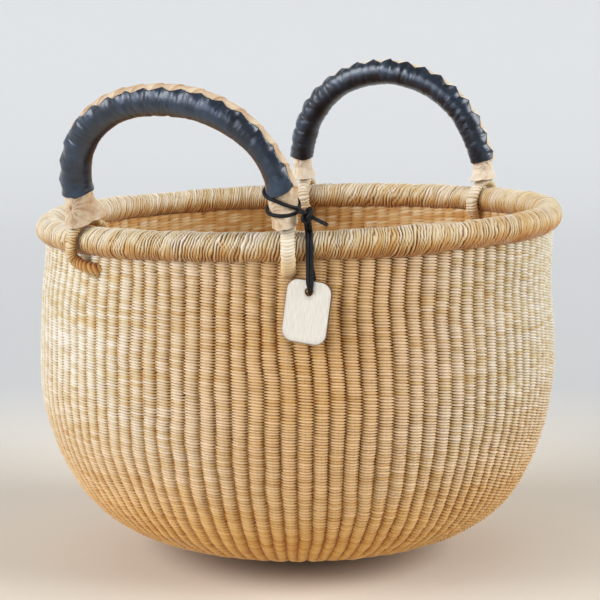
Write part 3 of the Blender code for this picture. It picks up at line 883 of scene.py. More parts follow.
@dataclass
class Handle:
    """One leather covered handle with its lacing strip, cuffs and straw loops.

    Its own frame has X along the hinge, Z up the legs and -Y away from the basket.
    """

    place: Place
    lean: Lean
    navy: bpy.types.Material
    tan: bpy.types.Material
    grass: bpy.types.Material
    tilt_degrees: float
    foot_degrees: float = 25.0
    leg_height: float = 0.034
    arch_height: float = 0.0765
    sleeve_start: float = 0.0385
    sleeve_radius: float = 0.0106
    arch_power: float = 0.90
    sleeve_lift: float = 0.0007
    sleeve_thickness: float = 0.0010
    end_tuck: float = 0.0022
    tongue_depth: float = 0.0020
    tooth_lift: float = 0.0009
    pucker_lift: float = 0.0005
    puff_lift: float = 0.00034
    ripple_lift: float = 0.00036
    edge_shares: tuple[float, ...] = (0.0, 1.0)
    near_edges: tuple[float, ...] = (29.0, 29.0)
    far_edges: tuple[float, ...] = (58.0, 58.0)
    tooth_degrees: float = 22.0
    leg_bows: tuple[float, float] = (0.0, 0.0)
    bow_height: float = 0.044
    bow_width: float = 0.018
    leg_points: int = 59
    end_flare: float = 0.0007
    flare_run: float = 0.006
    fold_depth: float = 0.0010
    slimming: float = 0.0
    first_end_rises: tuple[float, float] = (0.0, 0.0)
    cuff_extras: tuple[float, float] = (0.0, 0.0)
    tooth_pitch: float = 0.0146
    strip_radius: float = 0.0094
    strip_rise: float = 0.0019
    strip_thickness: float = 0.0009
    lap_lift: float = 0.0009
    strip_half_degrees: float = 57.0
    loop_ring_radius: float = 0.0156
    loop_sag: float = 0.17
    loop_half_width: float = 0.0054
    loop_half_depth: float = 0.0036
    loop_wraps: tuple[int, int] = (34, 34)
    loop_slants: tuple[float, float] = (0.8, 0.8)
    # how much paler the loop's outer side is painted than its inner side, for light and shade
    loop_outer_light: tuple[float, float] = (0.10, 0.10)
    loop_shears: tuple[float, float] = (0.0, 0.0)
    loop_trail: float = 0.0
    loop_grooves: tuple[float, float] = (0.0009, 0.0008)
    loop_thickening: float = 0.0
    loop_tones: tuple[float, float] = (0.62, 0.64)
    loop_bend: tuple[float, float] = (-0.013, 0.012)
    loop_yaw_degrees: float = 25.0
    cuff_yaw_degrees: float = 25.0
    cuff_bottom: float = 0.0172
    cuff_top: float = 0.0412
    cuff_half_width: float = 0.0090
    cuff_half_depth: float = 0.0168
    cuff_top_radius: float = 0.0106
    cuff_flare_share: float = 0.46
    cuff_drops: tuple[float, float] = (0.0, 0.0)
    cuff_lean: float = 0.0
    slit_degrees: tuple[float, float] = (-71.0, -150.0)
    slit_height: float = 0.0300
    crease_lift: float = 0.00035
    hem_lift: float = 0.0003
    cuff_thickness: float = 0.0012
    seed: int = 100
    lengths: np.ndarray = field(init=False)
    places: np.ndarray = field(init=False)
    headings: np.ndarray = field(init=False)

    def __post_init__(self) -> None:
        """Lays the centre line out: up one leg, over the arch, down the other.

        The arch is (A sgn(cos t) |cos t|^p, B sin(t)^p), an ellipse when p is 1 and fuller
        below that, and its legs bow outwards.
        """
        half = self.half_span
        leg = np.linspace(0.0, self.leg_height, self.leg_points + 1)[:-1]
        turn = np.linspace(0.0, math.pi, 700)
        across = np.sign(np.cos(turn)) * np.abs(np.cos(turn)) ** self.arch_power
        up = np.clip(np.sin(turn), 0.0, 1.0) ** self.arch_power
        x = np.concatenate([np.full(leg.size, half), half * across, np.full(leg.size, -half)])
        z = np.concatenate([leg, self.leg_height + self.arch_height * up, leg[::-1]])
        self.places = np.stack([x, z], axis=1)
        self.lengths = lengths_along(self.places)
        self.places[:, 0] += self.bow(self.lengths, 0) - self.bow(
            self.lengths[-1] - self.lengths, 1)
        self.headings = unit(np.gradient(self.places, axis=0))

    def bow(self, length: np.ndarray, end: int) -> np.ndarray:
        """How far a leg bows out: the bell b exp(-((s - h) / w)^2).

        Args:
            length: length from that leg's foot, in metres.
            end: 0 for the leg at the frame's +X, 1 for the other.

        Returns:
            The distance out from the straight leg.
        """
        return self.leg_bows[end] * np.exp(
            -((length - self.bow_height) / self.bow_width) ** 2)

    @property
    def half_span(self) -> float:
        """Half the distance between the feet: R sin(foot angle)."""
        return self.lean.ring_radius * math.sin(math.radians(self.foot_degrees))

    @property
    def body(self) -> str:
        """The CAD body of this handle."""
        return f"{self.place.value}_handle"

    def matrix(self) -> np.ndarray:
        """The handle's frame: the rim's, turned to its side, moved out and tilted."""
        turn = 0.0 if self.place is Place.FRONT else math.pi
        out = self.lean.ring_radius * math.cos(math.radians(self.foot_degrees))
        local = (Matrix.Rotation(turn, 4, "Z") @ Matrix.Translation((0.0, -out, 0.0))
                 @ Matrix.Rotation(math.radians(self.tilt_degrees), 4, "X"))
        return self.lean.matrix() @ np.array(local)

    def side(self, hand: Hand) -> int:
        """+1 for the foot at the frame's +X, and -1 for the other."""
        sign = 1 if hand is Hand.RIGHT else -1
        return sign if self.place is Place.FRONT else -sign

    def yawed(self, hand: Hand, degrees: float, points: np.ndarray) -> np.ndarray:
        """Points about a foot, turned about its leg and carried into the basket's frame.

        Args:
            hand: which foot.
            degrees: how far its width turns towards the rim's own direction there.
            points: in the foot's own frame, its leg at x = y = 0.

        Returns:
            Points in the basket's frame.
        """
        turn = np.array(Matrix.Translation((self.side(hand) * self.half_span, 0.0, 0.0))
                        @ Matrix.Rotation(math.radians(self.side(hand) * degrees), 4, "Z"))
        return moved(self.matrix() @ turn, points)

    def edges(self, share: np.ndarray) -> tuple[np.ndarray, np.ndarray]:
        """The sleeve's near and far edge in degrees from the arch's outer edge."""
        return (np.interp(share, self.edge_shares, self.near_edges),
                np.interp(share, self.edge_shares, self.far_edges))

    def around(self, s: np.ndarray, angle: np.ndarray, radius: np.ndarray) -> np.ndarray:
        """Points round the centre line: c(s) + n r cos(angle) + y r sin(angle).

        Args:
            s: length along the centre line.
            angle: 0 on the arch's outer edge, a quarter turn towards +Y.
            radius: distance from the centre line.

        Returns:
            Points in the basket's frame.
        """
        x, z = (np.interp(s, self.lengths, self.places[:, k]) for k in (0, 1))
        dx, dz = (np.interp(s, self.lengths, self.headings[:, k]) for k in (0, 1))
        out = radius * np.cos(angle)
        points = np.stack([x + dz * out, radius * np.sin(angle) + 0 * x, z - dx * out], axis=-1)
        return moved(self.matrix(), points)

    def sleeve(self) -> bpy.types.Object:
        """The navy sleeve: pinked along both edges, rippled across, its ends overlapping
        the cuffs in a shallow tongue. It swells at each tooth and falls off as exp(-x) from
        the edge, and the teeth that can be seen curl up at their tips."""
        rows, columns = 520, 60
        share = np.linspace(0.0, 1.0, rows)[:, None]
        across = np.linspace(0.0, 1.0, columns)[None, :]
        total = self.lengths[-1]
        rough = 60 * share
        beat = (self.sleeve_start + (total - 2 * self.sleeve_start) * share) / self.tooth_pitch
        near_tooth = 1 - np.abs((beat % 1.0) * 2 - 1)
        far_tooth = 1 - np.abs(((beat + 0.5) % 1.0) * 2 - 1)
        wobble = 3.0 * wander(rough, 0.0, 61, 1, self.seed)
        near, far = self.edges(share)
        low = near - self.tooth_degrees * near_tooth ** 1.8 + wobble
        high = far - self.tooth_degrees * far_tooth ** 1.8 - wobble
        if self.place is Place.FRONT:
            low, high = high, low
        angle = np.radians(low + (360 - high - low) * across)
        tongue = self.tongue_depth * np.abs(np.sin(angle)) ** 1.5
        jag = 0.0007 * wander(angle * 3, 0.0, 19, 1, self.seed + 1)
        low_rise, high_rise = self.first_end_rises
        first = self.sleeve_start + self.end_tuck - tongue + jag + low_rise + (
            high_rise - low_rise) * (0.5 + 0.5 * np.cos(angle))
        last = total - self.sleeve_start - self.end_tuck + tongue - jag
        s = first + (last - first) * share
        near_edge = angle - np.radians(low)
        far_edge = np.radians(360 - high) - angle
        edge = np.minimum(near_edge, far_edge)
        swell = (near_tooth ** 1.2 * np.exp(-near_edge / 0.5)
                 + far_tooth ** 1.2 * np.exp(-far_edge / 0.5))
        ends = np.minimum(s - first, last - s)
        flare = self.end_flare * (1 - smooth_step(ends / self.flare_run))
        ripple = wander(s / 0.0033 + 0.5 * np.sin(angle * 2), angle * 1.2, 89, 9, self.seed + 2)
        ripple = ripple + 0.5 * wander(s / 0.0014, angle * 2.1, 211, 17, self.seed + 3)
        puff = wander(s / 0.017, angle * 0.95, 41, 6, self.seed + 4)
        calm = 0.35 + 0.65 * smooth_step(0.5 + 0.9 * wander(s / 0.03, angle * 0.8, 23, 5,
                                                            self.seed + 5))
        pucker = np.abs(np.sin(TAU * beat)) ** 1.5 * np.exp(-edge / 0.7)
        slim = self.slimming * np.exp(-((share - 0.12) / 0.10) ** 2) * smooth_step(share / 0.05)
        curl = (near_tooth ** 3 * np.exp(-near_edge / 0.15) + (
            self.place is Place.FRONT) * far_tooth ** 3 * np.exp(-far_edge / 0.15))
        radius = (self.sleeve_radius + self.sleeve_lift + self.tooth_lift * (swell + curl)
                  + self.pucker_lift * pucker + flare + self.puff_lift * puff
                  + self.ripple_lift * ripple * calm
                  - slim * (0.5 - 0.5 * np.cos(angle)))
        points = self.around(s, angle, radius)
        name = f"{self.place.value}_leather_sleeve"
        # crease attribute: a painted highlight on the puffs and ripples, painted shade between
        # them
        mesh = surface_mesh(name, points, crease=np.clip(0.4 + 0.3 * puff + 0.3 * ripple, 0, 1))
        piece = add_piece(name, mesh, self.navy, self.body, "navy_leather",
                          f"{self.place.value}_handle_sleeve", f"{self.place.value}_handle_core")
        thicken(piece, self.sleeve_thickness)
        return piece

    def strip(self) -> bpy.types.Object:
        """The tan lacing strip: turn laid over turn on a slant, each turn rising from
        under the last by (1 - x)^1.5 and highest along the middle of the strip."""
        rows, columns = 640, 26
        share = np.linspace(0.0, 1.0, rows)[:, None]
        s = self.sleeve_start + (self.lengths[-1] - 2 * self.sleeve_start) * share
        half = math.radians(self.strip_half_degrees)
        near, far = self.edges(share)
        middle = np.radians(far - near) / 2 * (1 if self.place is Place.FRONT else -1)
        angle = middle + np.linspace(-half, half, columns)[None, :]
        lap = (s / self.tooth_pitch + 0.35 * angle + 0.03 * wander(
            s / 0.01, angle * 3, 61, 7, self.seed + 8)) % 1.0
        overlap = (1 - lap) ** 1.5 * smooth_step(lap / 0.05)
        rise = smooth_step((1 - np.abs(angle - middle) / half) * 1.25)
        radius = self.strip_radius + (self.strip_rise + self.lap_lift * overlap) * rise
        points = self.around(s + 0 * angle, angle + 0 * s, radius)
        name = f"{self.place.value}_lacing"
        # crease attribute: painted shade just under each turn's edge, and a painted highlight
        # where the turn rises
        crease = np.clip(0.35 + 0.6 * overlap - 0.9 * (1 - smooth_step(lap / 0.10)), 0.0, 1.0)
        mesh = surface_mesh(name, points, crease=crease)
        piece = add_piece(name, mesh, self.tan, self.body, "tan_leather",
                          f"{self.place.value}_lacing_strip")
        thicken(piece, self.strip_thickness)
        return piece

    def cuff_sizes(self, height: np.ndarray) -> tuple[np.ndarray, np.ndarray]:
        """The cuff's half width and half depth at a height, from its flare to round."""
        share = (height - self.cuff_bottom) / (self.cuff_top - self.cuff_bottom)
        eased = smooth_step(share / self.cuff_flare_share)
        return (self.cuff_half_width + (self.cuff_top_radius - self.cuff_half_width) * eased,
                self.cuff_half_depth + (self.cuff_top_radius - self.cuff_half_depth) * eased)

    def cuff(self, hand: Hand) -> bpy.types.Object:
        """A tan cuff, flared below, with folds that run out from a short slit.

        With (x, y) from the slit on the unrolled leather and g its angle, the folds are
        grooves exp(-(cos(6.5 g + k) / 0.4)^2) falling off with distance.
        """
        rows, columns = 70, 140
        share = np.linspace(0.0, 1.0, rows)[:, None]
        turn = (np.arange(columns) * TAU / columns)[None, :]
        seed = self.seed + 20 + 10 * hand.index
        wave = 0.0007 * np.sin(turn * 2 + seed) + 0.0005 * wander(turn * 3, 0.0, 19, 1, seed)
        drop = self.cuff_drops[hand.index]
        bottom = self.cuff_bottom + wave - drop * (1 + 0.9 * smooth_step(np.sin(turn)))
        height = bottom + (self.cuff_top + self.cuff_extras[hand.index] - bottom) * share
        wide, deep = self.cuff_sizes(height)
        slit_turn = math.radians(self.slit_degrees[hand.index])
        x = (((turn - slit_turn + math.pi) % TAU) - math.pi) * self.cuff_top_radius
        y = height - self.slit_height
        away = np.sqrt(x * x + y * y) + 1e-6
        fan = np.cos(6.5 * np.arctan2(y, x) + seed + 2 * wander(x / 0.005, y / 0.005, 9, 9, seed))
        folds = np.exp(-(fan / 0.4) ** 2) * np.exp(-away / 0.014) * smooth_step(away / 0.003)
        creases = wander(turn * 5 / TAU * 4, height / 0.004, 20, 13, seed + 1)
        slit = np.exp(-((x + 0.25 * y) / 0.0007) ** 2 - (y / 0.0015) ** 2)
        hem = smooth_step(1 - (height - bottom) / 0.0016)
        lift = (self.crease_lift * creases - self.fold_depth * (folds + 2.2 * slit)
                + self.hem_lift * hem)
        across = (wide + lift) * np.cos(turn)
        through = (deep + lift) * np.sin(turn)
        if hand is Hand.LEFT:
            through = through + self.cuff_lean * (deep - self.cuff_top_radius)
        side = self.side(hand)
        across = across + side * self.bow(height, (1 - side) // 2)
        local = np.stack([across, through, height + 0 * turn], axis=-1)
        name = f"{self.place.value}_{hand.value}_leather_cuff"
        # crease attribute: painted shade in the folds and the slit, a painted highlight on the
        # raised creases
        crease = np.clip(0.7 - 0.9 * folds + 0.25 * creases - 2.5 * slit, 0.0, 1.0)
        mesh = surface_mesh(name, self.yawed(hand, self.cuff_yaw_degrees, local), closed_u=True,
                            crease=crease)
        piece = add_piece(name, mesh, self.tan, self.body, "tan_leather",
                          f"{self.place.value}_{hand.value}_cuff")
        thicken(piece, self.cuff_thickness)
        return piece

    def loop(self, hand: Hand) -> bpy.types.Object:
        """A flattened tube of grass wraps in a ring round the rim.

        Its section is d cos(q) out and w sin(q) across, each wrap a ridge |cos pi p| with
        p = n T / 2 pi + slant q. The left one trails along the wall before it goes in: its
        middle line is moved by b = exp(-((T - 285) / 45)^2) and lags by 0.6 b' on the ring.
        Both sag by a like bell at T = 245.
        """
        which = hand.index
        wraps = self.loop_wraps[which]
        rows, columns = wraps * 8, 26
        ring = (np.arange(rows) * TAU / rows)[:, None]
        q = (np.arange(columns) * TAU / columns)[None, :]
        seed = self.seed + 40 + 10 * which
        bent = ring * wraps / TAU + 0.7 * wander(ring * 20 / TAU, q * 3 / TAU, 20, 3, seed)
        phase = bent + self.loop_slants[which] * (1 - np.abs((q / math.pi) % 2 - 1))
        strand = np.abs(np.cos(math.pi * phase))
        number = np.round(phase)
        groove = self.loop_grooves[which]
        height = groove * (strand - 1) + 0.0003 * scatter(number % wraps, 0, seed + 1)
        height = height - 0.0004 * np.exp(-((np.abs(q - math.pi) - math.pi) / 0.3) ** 2)
        trail = self.loop_trail if hand is Hand.LEFT else 0.0
        low_by = np.degrees(ring) - 285.0
        lag = 0.6 * np.exp(-((low_by + 10) / 50) ** 2) * (trail > 0)
        sagging = self.loop_ring_radius * (
            1 + self.loop_sag * np.exp(-((low_by + 40) / 45) ** 2))
        middle = np.concatenate([trail * np.exp(-(low_by / 45) ** 2),
                                 sagging * np.cos(ring - lag),
                                 sagging * np.sin(ring - lag)], axis=1)
        along = unit(np.roll(middle, -1, axis=0) - np.roll(middle, 1, axis=0))
        normal = middle * np.array((0.0, 1.0, 1.0)) / sagging
        normal = unit(normal - along * (normal * along).sum(axis=1)[:, None])
        aside = np.cross(normal, along)
        under = smooth_step(0.3 - 0.9 * np.sin(ring) + 0 * q)
        thicker = self.loop_thickening * under * (np.cos(q) > 0) if trail else 0.0
        local = (middle[:, None] + normal[:, None] * (
            (self.loop_half_depth + height + thicker) * np.cos(q))[..., None] + aside[:, None] * (
            (self.loop_half_width + height) * np.sin(q))[..., None])
        local[..., 0] += self.loop_shears[which] * local[..., 2]
        # Tone: painted light on the outer side, painted shade on the inner side and underneath,
        # with random wraps.
        tone = (self.loop_tones[which] + self.loop_outer_light[which] * np.cos(q)
                + 0.08 * scatter(number % wraps, 0, seed + 2) - 0.08 * under)
        # Shade: painted shade in the lines between wraps and on the inner side towards the rim.
        shade = 1 - 700 * groove * (1 - strand) ** 1.8 - 0.25 * (np.cos(q) < -0.6)
        name = f"{self.place.value}_{hand.value}_straw_loop"
        mesh = surface_mesh(name, self.yawed(hand, self.loop_yaw_degrees, local),
                            closed_u=True, closed_v=True, flip=True,
                            u_values=np.arange(columns + 1) * 0.11,
                            # painted golden tint, more underneath as shade
                            v_values=np.arange(rows + 1) * 0.03, aged=0.2 + 0.4 * under,
                            tone=np.clip(tone, *TONE_RANGE),
                            shade=np.clip(shade, 0.0, 1.0))
        piece = add_piece(name, mesh, self.grass, "", "wrapped_straw",
                          f"{self.place.value}_{hand.value}_loop")
        across = self.side(hand) * self.half_span
        ends = [moved(self.matrix(), np.array((across, 0.0, z))) for z in self.loop_bend]
        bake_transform(piece)
        return piece

    def build(self) -> list[bpy.types.Object]:
        """Builds the whole handle."""
        pieces = [self.sleeve(), self.strip()]
        for hand in Hand:
            pieces += [self.cuff(hand), self.loop(hand)]
        return pieces


# ---------------------------------------------------------------- the tag and its cord


@dataclass
class TagCord:
    """The black cord: two turns round the front right cuff, a knot, a loose tail, the
    lead over the rim and the two strands that carry the tag."""

    handle: Handle
    material: bpy.types.Material
    diameter: float = 0.0028
    lift: float = -0.0009
    touch: float = 0.0003
    cuff_bottom: float = 0.0170
    cuff_top: float = 0.0400
    cuff_top_radius: float = 0.0112
    wrap_turns: tuple[float, ...] = (-0.12, 0.25, 0.5, 0.75, 1.0, 1.25, 1.5, 1.75, 1.88)
    wrap_shares: tuple[float, ...] = (0.36, 0.53, 0.60, 0.48, 0.54, 1.00, 1.20, 0.84, 0.58)
    knot_radius: float = 0.0043
    knot_across: float = 0.0206
    knot_height: float = 0.0262
    knot_forward: float = 0.0030
    tail_length: float = 0.0128
    tail_heading: tuple[float, float, float] = (0.86, -0.08, -0.38)
    spacing: float = 0.0027
    strand_run: float = 0.0060
    rim_radius: float = 0.0106
    lead_turns: tuple[float, ...] = (62.0, 50.0, 38.0, 26.0, 14.0, 5.0, -4.0)
    direction_degrees: float = -60.8
    drop: float = 0.0310
    board_thickness: float = 0.003

    def outward(self) -> np.ndarray:
        """The direction from the basket's middle to the tag."""
        turn = math.radians(self.direction_degrees)
        return np.array((math.cos(turn), math.sin(turn), 0.0))

    def tag_matrix(self) -> np.ndarray:
        """The tag's frame: X away from the basket, at its hinge beside the rim."""
        reach = self.handle.lean.ring_radius + self.rim_radius + self.touch + self.diameter / 2
        place = moved(self.handle.lean.matrix(), self.outward() * reach)
        turn = Matrix.Rotation(math.radians(self.direction_degrees), 4, "Z")
        return np.array(Matrix.Translation(Vector(place)) @ turn)

    def curve(self, name: str, points: np.ndarray, body: str, *nodes: str,
              cyclic: bool = False, thicker: float = 1.0) -> bpy.types.Object:
        """A round cord through the points, its ends filled.

        Args:
            name: the piece's name.
            points: its middle line in metres.
            body: the CAD body that it moves with.
            *nodes: the CAD nodes that it stands for.
            cyclic: closed on itself.
            thicker: its thickness over the cord's own.

        Returns:
            The curve object.
        """
        data = bpy.data.curves.new(name, "CURVE")
        data.dimensions = "3D"
        data.bevel_depth = self.diameter / 2 * thicker
        data.bevel_resolution = 4
        data.use_fill_caps = True
        line = data.splines.new("POLY")
        line.points.add(len(points) - 1)
        line.points.foreach_set("co", np.append(points, np.ones((len(points), 1)), 1).ravel())
        line.use_cyclic_u = cyclic
        line.use_smooth = True
        return add_piece(name, data, self.material, body, "black_cord", *nodes)

    def smooth_line(self, points: np.ndarray, count: int) -> np.ndarray:
        """A Catmull-Rom curve through the points, evenly divided in its parameter.

        Args:
            points: the route's corners.
            count: how many points to give back.

        Returns:
            The finer route.
        """
        held = np.concatenate([[2 * points[0] - points[1]], points,
                               [2 * points[-1] - points[-2]]])
        at = np.linspace(0.0, len(points) - 1 - 1e-9, count)
        low = np.floor(at).astype(int)
        t = (at - low)[:, None]
        a, b, c, d = (held[low + k] for k in range(4))
        return 0.5 * (2 * b + (c - a) * t + (2 * a - 5 * b + 4 * c - d) * t ** 2
                      + (3 * b - a - 3 * c + d) * t ** 3)

    def wraps(self) -> np.ndarray:
        """The two turns round the cuff: the cuff's ellipse at each height, set off by
        half a cord and a little air."""
        steps = np.linspace(self.wrap_turns[0], self.wrap_turns[-1], 60)
        share = np.interp(steps, self.wrap_turns, self.wrap_shares)
        height = self.cuff_bottom + share * (self.cuff_top - self.cuff_bottom)
        eased = smooth_step(share / self.handle.cuff_flare_share)
        on_sleeve = 0.0009 * smooth_step((share - 0.95) / 0.2)
        wide = self.handle.cuff_half_width + on_sleeve + (
            self.cuff_top_radius - self.handle.cuff_half_width) * eased
        deep = self.handle.cuff_half_depth + on_sleeve + (
            self.cuff_top_radius - self.handle.cuff_half_depth) * eased
        across, depth = np.cos(-steps * TAU), np.sin(-steps * TAU)
        normal = unit(np.stack([across / wide, depth / deep], axis=1))
        off = self.diameter / 2 + self.lift
        local = np.stack([self.handle.half_span + self.handle.bow(height, 0) + wide * across
                          + normal[:, 0] * off,
                          deep * depth + normal[:, 1] * off, height], axis=1)
        return moved(self.handle.matrix(), local)

    def build(self) -> list[bpy.types.Object]:
        handle = self.handle
        wraps = self.wraps()
        wound = self.curve("cord_turns", wraps, handle.body, "tag_cord_wraps")
        centre_local = np.array((handle.half_span + self.knot_across, -self.knot_forward,
                                 self.knot_height))
        centre = moved(handle.matrix(), centre_local)
        turn = np.linspace(0.0, TAU, 90, endpoint=False)
        knot_local = np.stack([(np.sin(turn) + 2 * np.sin(2 * turn)) * 0.33,
                               -np.sin(3 * turn) * 0.75,
                               (np.cos(turn) - 2 * np.cos(2 * turn)) * 0.36], axis=1)
        knot_local = knot_local * self.knot_radius + centre_local
        knot = self.curve("cord_knot", moved(handle.matrix(), knot_local), handle.body,
                          "tag_cord_knot", cyclic=True, thicker=1.15)
        heading = np.array(self.tail_heading) / np.linalg.norm(self.tail_heading)
        start = centre_local + heading * (self.knot_radius + self.touch)
        shares = np.linspace(0.0, 1.0, 7)[:, None]
        tail_local = start + heading * self.tail_length * shares
        tail = self.curve("cord_tail", moved(handle.matrix(), tail_local), handle.body,
                          "tag_cord_tail")
        lead = self.lead(centre)
        beside = self.tag_matrix()[:3, 1] * self.spacing / 2
        lead_piece = self.bent_run("cord_lead", lead - beside, handle.body, "tag_cord_lead")
        beside_lead = self.bent_run("cord_lead_beside", lead + beside, handle.body)
        strands = self.strands()
        hung = self.curve("cord_strands", strands, "tag", "tag_cord_strands")
        beside_strand = self.curve("cord_strand_beside", self.second_strand(), "tag")
        return [wound, knot, tail, lead_piece, beside_lead, hung, beside_strand]

    def lead(self, knot_centre: np.ndarray) -> np.ndarray:
        """The middle between the two runs from the knot down over the rim, half a cord
        clear of it."""
        reach = self.rim_radius + self.touch + self.diameter / 2
        turns = np.radians(self.lead_turns)[:, None]
        ring = self.handle.lean.ring_radius + reach * np.cos(turns)
        local = self.outward() * ring + np.array((0.0, 0.0, 1.0)) * reach * np.sin(turns)
        over = moved(self.handle.lean.matrix(), local)
        toward = (over[0] - knot_centre) / np.linalg.norm(over[0] - knot_centre)
        start = knot_centre + toward * (self.knot_radius + self.touch)
        return np.concatenate([[start, (start + over[0]) / 2], over])

    def bent_run(self, name: str, line: np.ndarray, body: str,
                 *nodes: str) -> bpy.types.Object:
        """A run of cord from its first end by the knot to its last by the rim.

        Each ring is p + r (a cos t + b sin t), with a and b square to the run.

        Args:
            name: the piece's name.
            line: its route, from the end by the knot.
            body: not used.
            *nodes: the CAD nodes that it stands for.

        Returns:
            The object.
        """
        route = self.smooth_line(line, 48)
        along = unit(np.gradient(route, axis=0))
        aside = self.tag_matrix()[:3, 1]
        across = unit(aside - along * (along @ aside)[:, None])
        other = np.cross(along, across)
        route, across, other = (np.concatenate([each[:1], each, each[-1:]])
                                for each in (route, across, other))
        sides = 16
        turn = np.arange(sides) * TAU / sides
        radius = np.full(len(route), self.diameter / 2)
        radius[[0, -1]] = 0.0
        points = route[:, None] + radius[:, None, None] * (
            across[:, None] * np.cos(turn)[:, None] + other[:, None] * np.sin(turn)[:, None])
        mesh = surface_mesh(name, points, closed_u=True)
        piece = add_piece(name, mesh, self.material, "", "black_cord", *nodes)
        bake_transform(piece)
        return piece

    def strands(self) -> np.ndarray:
        """Down in front of the tag, through its hole and back up behind it."""
        clear = self.board_thickness / 2 + self.diameter / 2 + self.touch
        half, down = self.spacing / 2, -self.drop
        local = np.array([
            (0.0, -half, 0.0), (0.0, -half, -self.diameter),
            (clear, -half, down + self.strand_run),
            (clear + self.touch, 0.0, down + self.diameter / 2), (clear / 2, 0.0, down),
            (-clear / 2, 0.0, down), (-clear - self.touch, 0.0, down + self.diameter / 2),
            (-clear, 2.6 * half, down + 0.0085), (-0.0012, 1.2 * half, down + 0.0175),
            (-0.0014, 0.6 * half, -self.diameter), (-0.0014, 0.6 * half, 0.0)])
        return moved(self.tag_matrix(), local)

    def second_strand(self) -> np.ndarray:
        """The other front run, down beside the first and into the hole with it."""
        clear = self.board_thickness / 2 + self.diameter / 2 + self.touch
        half, down = self.spacing / 2, -self.drop
        local = np.array([
            (0.0, half, 0.0), (0.0, half, -self.diameter),
            (clear, half, down + self.strand_run),
            (clear, half / 2, down + self.diameter / 2), (0.0, half / 2, down)])
        return moved(self.tag_matrix(), local)


@dataclass
class HangTag:
    """The small wooden board: rounded corners, one hole, burnt edges, no lettering."""

    cord: TagCord
    material: bpy.types.Material
    width: float = 0.033
    height: float = 0.0455
    thickness: float = 0.003
    corner: float = 0.0085
    hole_radius: float = 0.0029
    hole_from_top: float = 0.0080
    yaw_degrees: float = -17.0
    roll_degrees: float = -7.5

    def outline(self, inset: float, count: int) -> np.ndarray:
        """Points of the rounded rectangle, set in, from the middle of the right side.

        Each corner is an arc of the corner radius; the points are spaced by length.

        Args:
            inset: how far in from the edge.
            count: how many points.

        Returns:
            (across, up) pairs from the board's middle.
        """
        turn = np.linspace(0.0, TAU, 4 * 40 + 1)
        reach = self.corner - inset
        x = np.sign(np.cos(turn + 1e-9)) * (self.width / 2 - self.corner) + reach * np.cos(turn)
        y = np.sign(np.sin(turn + 1e-9)) * (self.height / 2 - self.corner) + reach * np.sin(turn)
        line = np.stack([x, y], axis=1)
        line = np.concatenate([[[line[0, 0], 0.0]], line[:-1], [[line[0, 0], 0.0]]])
        length = lengths_along(line)
        at = np.linspace(0.0, length[-1], count, endpoint=False)
        return np.stack([np.interp(at, length, line[:, k]) for k in (0, 1)], axis=1)

    def build(self) -> bpy.types.Object:
        """Builds the board as one closed ring of faces: front, edge, back and hole."""
        count = 144
        hole_up = self.height / 2 - self.hole_from_top
        rim = self.outline(0.0, count)
        turn = np.arctan2(rim[:, 1] - hole_up, rim[:, 0])
        hole = np.stack([np.cos(turn), np.sin(turn)], axis=1) * self.hole_radius
        hole[:, 1] += hole_up
        bevel = 0.0003
        half = self.thickness / 2
        inset_rim = self.outline(bevel, count)
        spread = np.array((0.0, 0.03, 0.12, 0.3, 0.5, 0.7, 0.88, 0.97, 1.0))
        face = hole + (inset_rim - hole) * spread[:, None, None]
        burnt_face = np.array((1.0, 0.3, 0.0, 0.0, 0.0, 0.0, 0.0, 0.1, 0.55))
        rings = [*face, rim, rim, *face[::-1]]
        depths = [*[half] * len(face), half - bevel, bevel - half, *[-half] * len(face)]
        burnt = np.array([*burnt_face, 1.0, 1.0, *burnt_face[::-1]])
        flat = np.stack(rings)
        local = np.stack([np.array(depths)[:, None] + 0 * flat[..., 0], flat[..., 0],
                          flat[..., 1] - hole_up], axis=-1)
        place = (Matrix.Translation((0.0, 0.0, -self.cord.drop))
                 @ Matrix.Rotation(math.radians(self.yaw_degrees), 4, "Z")
                 @ Matrix.Rotation(math.radians(self.roll_degrees), 4, "X"))
        world = moved(self.cord.tag_matrix() @ np.array(place), local)
        mesh = surface_mesh("wooden_tag", world, closed_u=True, closed_v=True,
                            u_values=np.zeros(count + 1), v_values=np.zeros(len(rings) + 1),
                            burnt=np.repeat(burnt[:, None], count, axis=1))
        layer = mesh.uv_layers["strand"]
        index = np.empty(len(mesh.loops), dtype=np.int32)
        mesh.loops.foreach_get("vertex_index", index)
        board = flat.reshape(-1, 2)[index] * CM_IN_METRE
        layer.data.foreach_set("uv", board.astype(np.float32).ravel())
        return add_piece("wooden_tag", mesh, self.material, "tag", "tag_wood", "hang_tag")


# ---------------------------------------------------------------- the studio


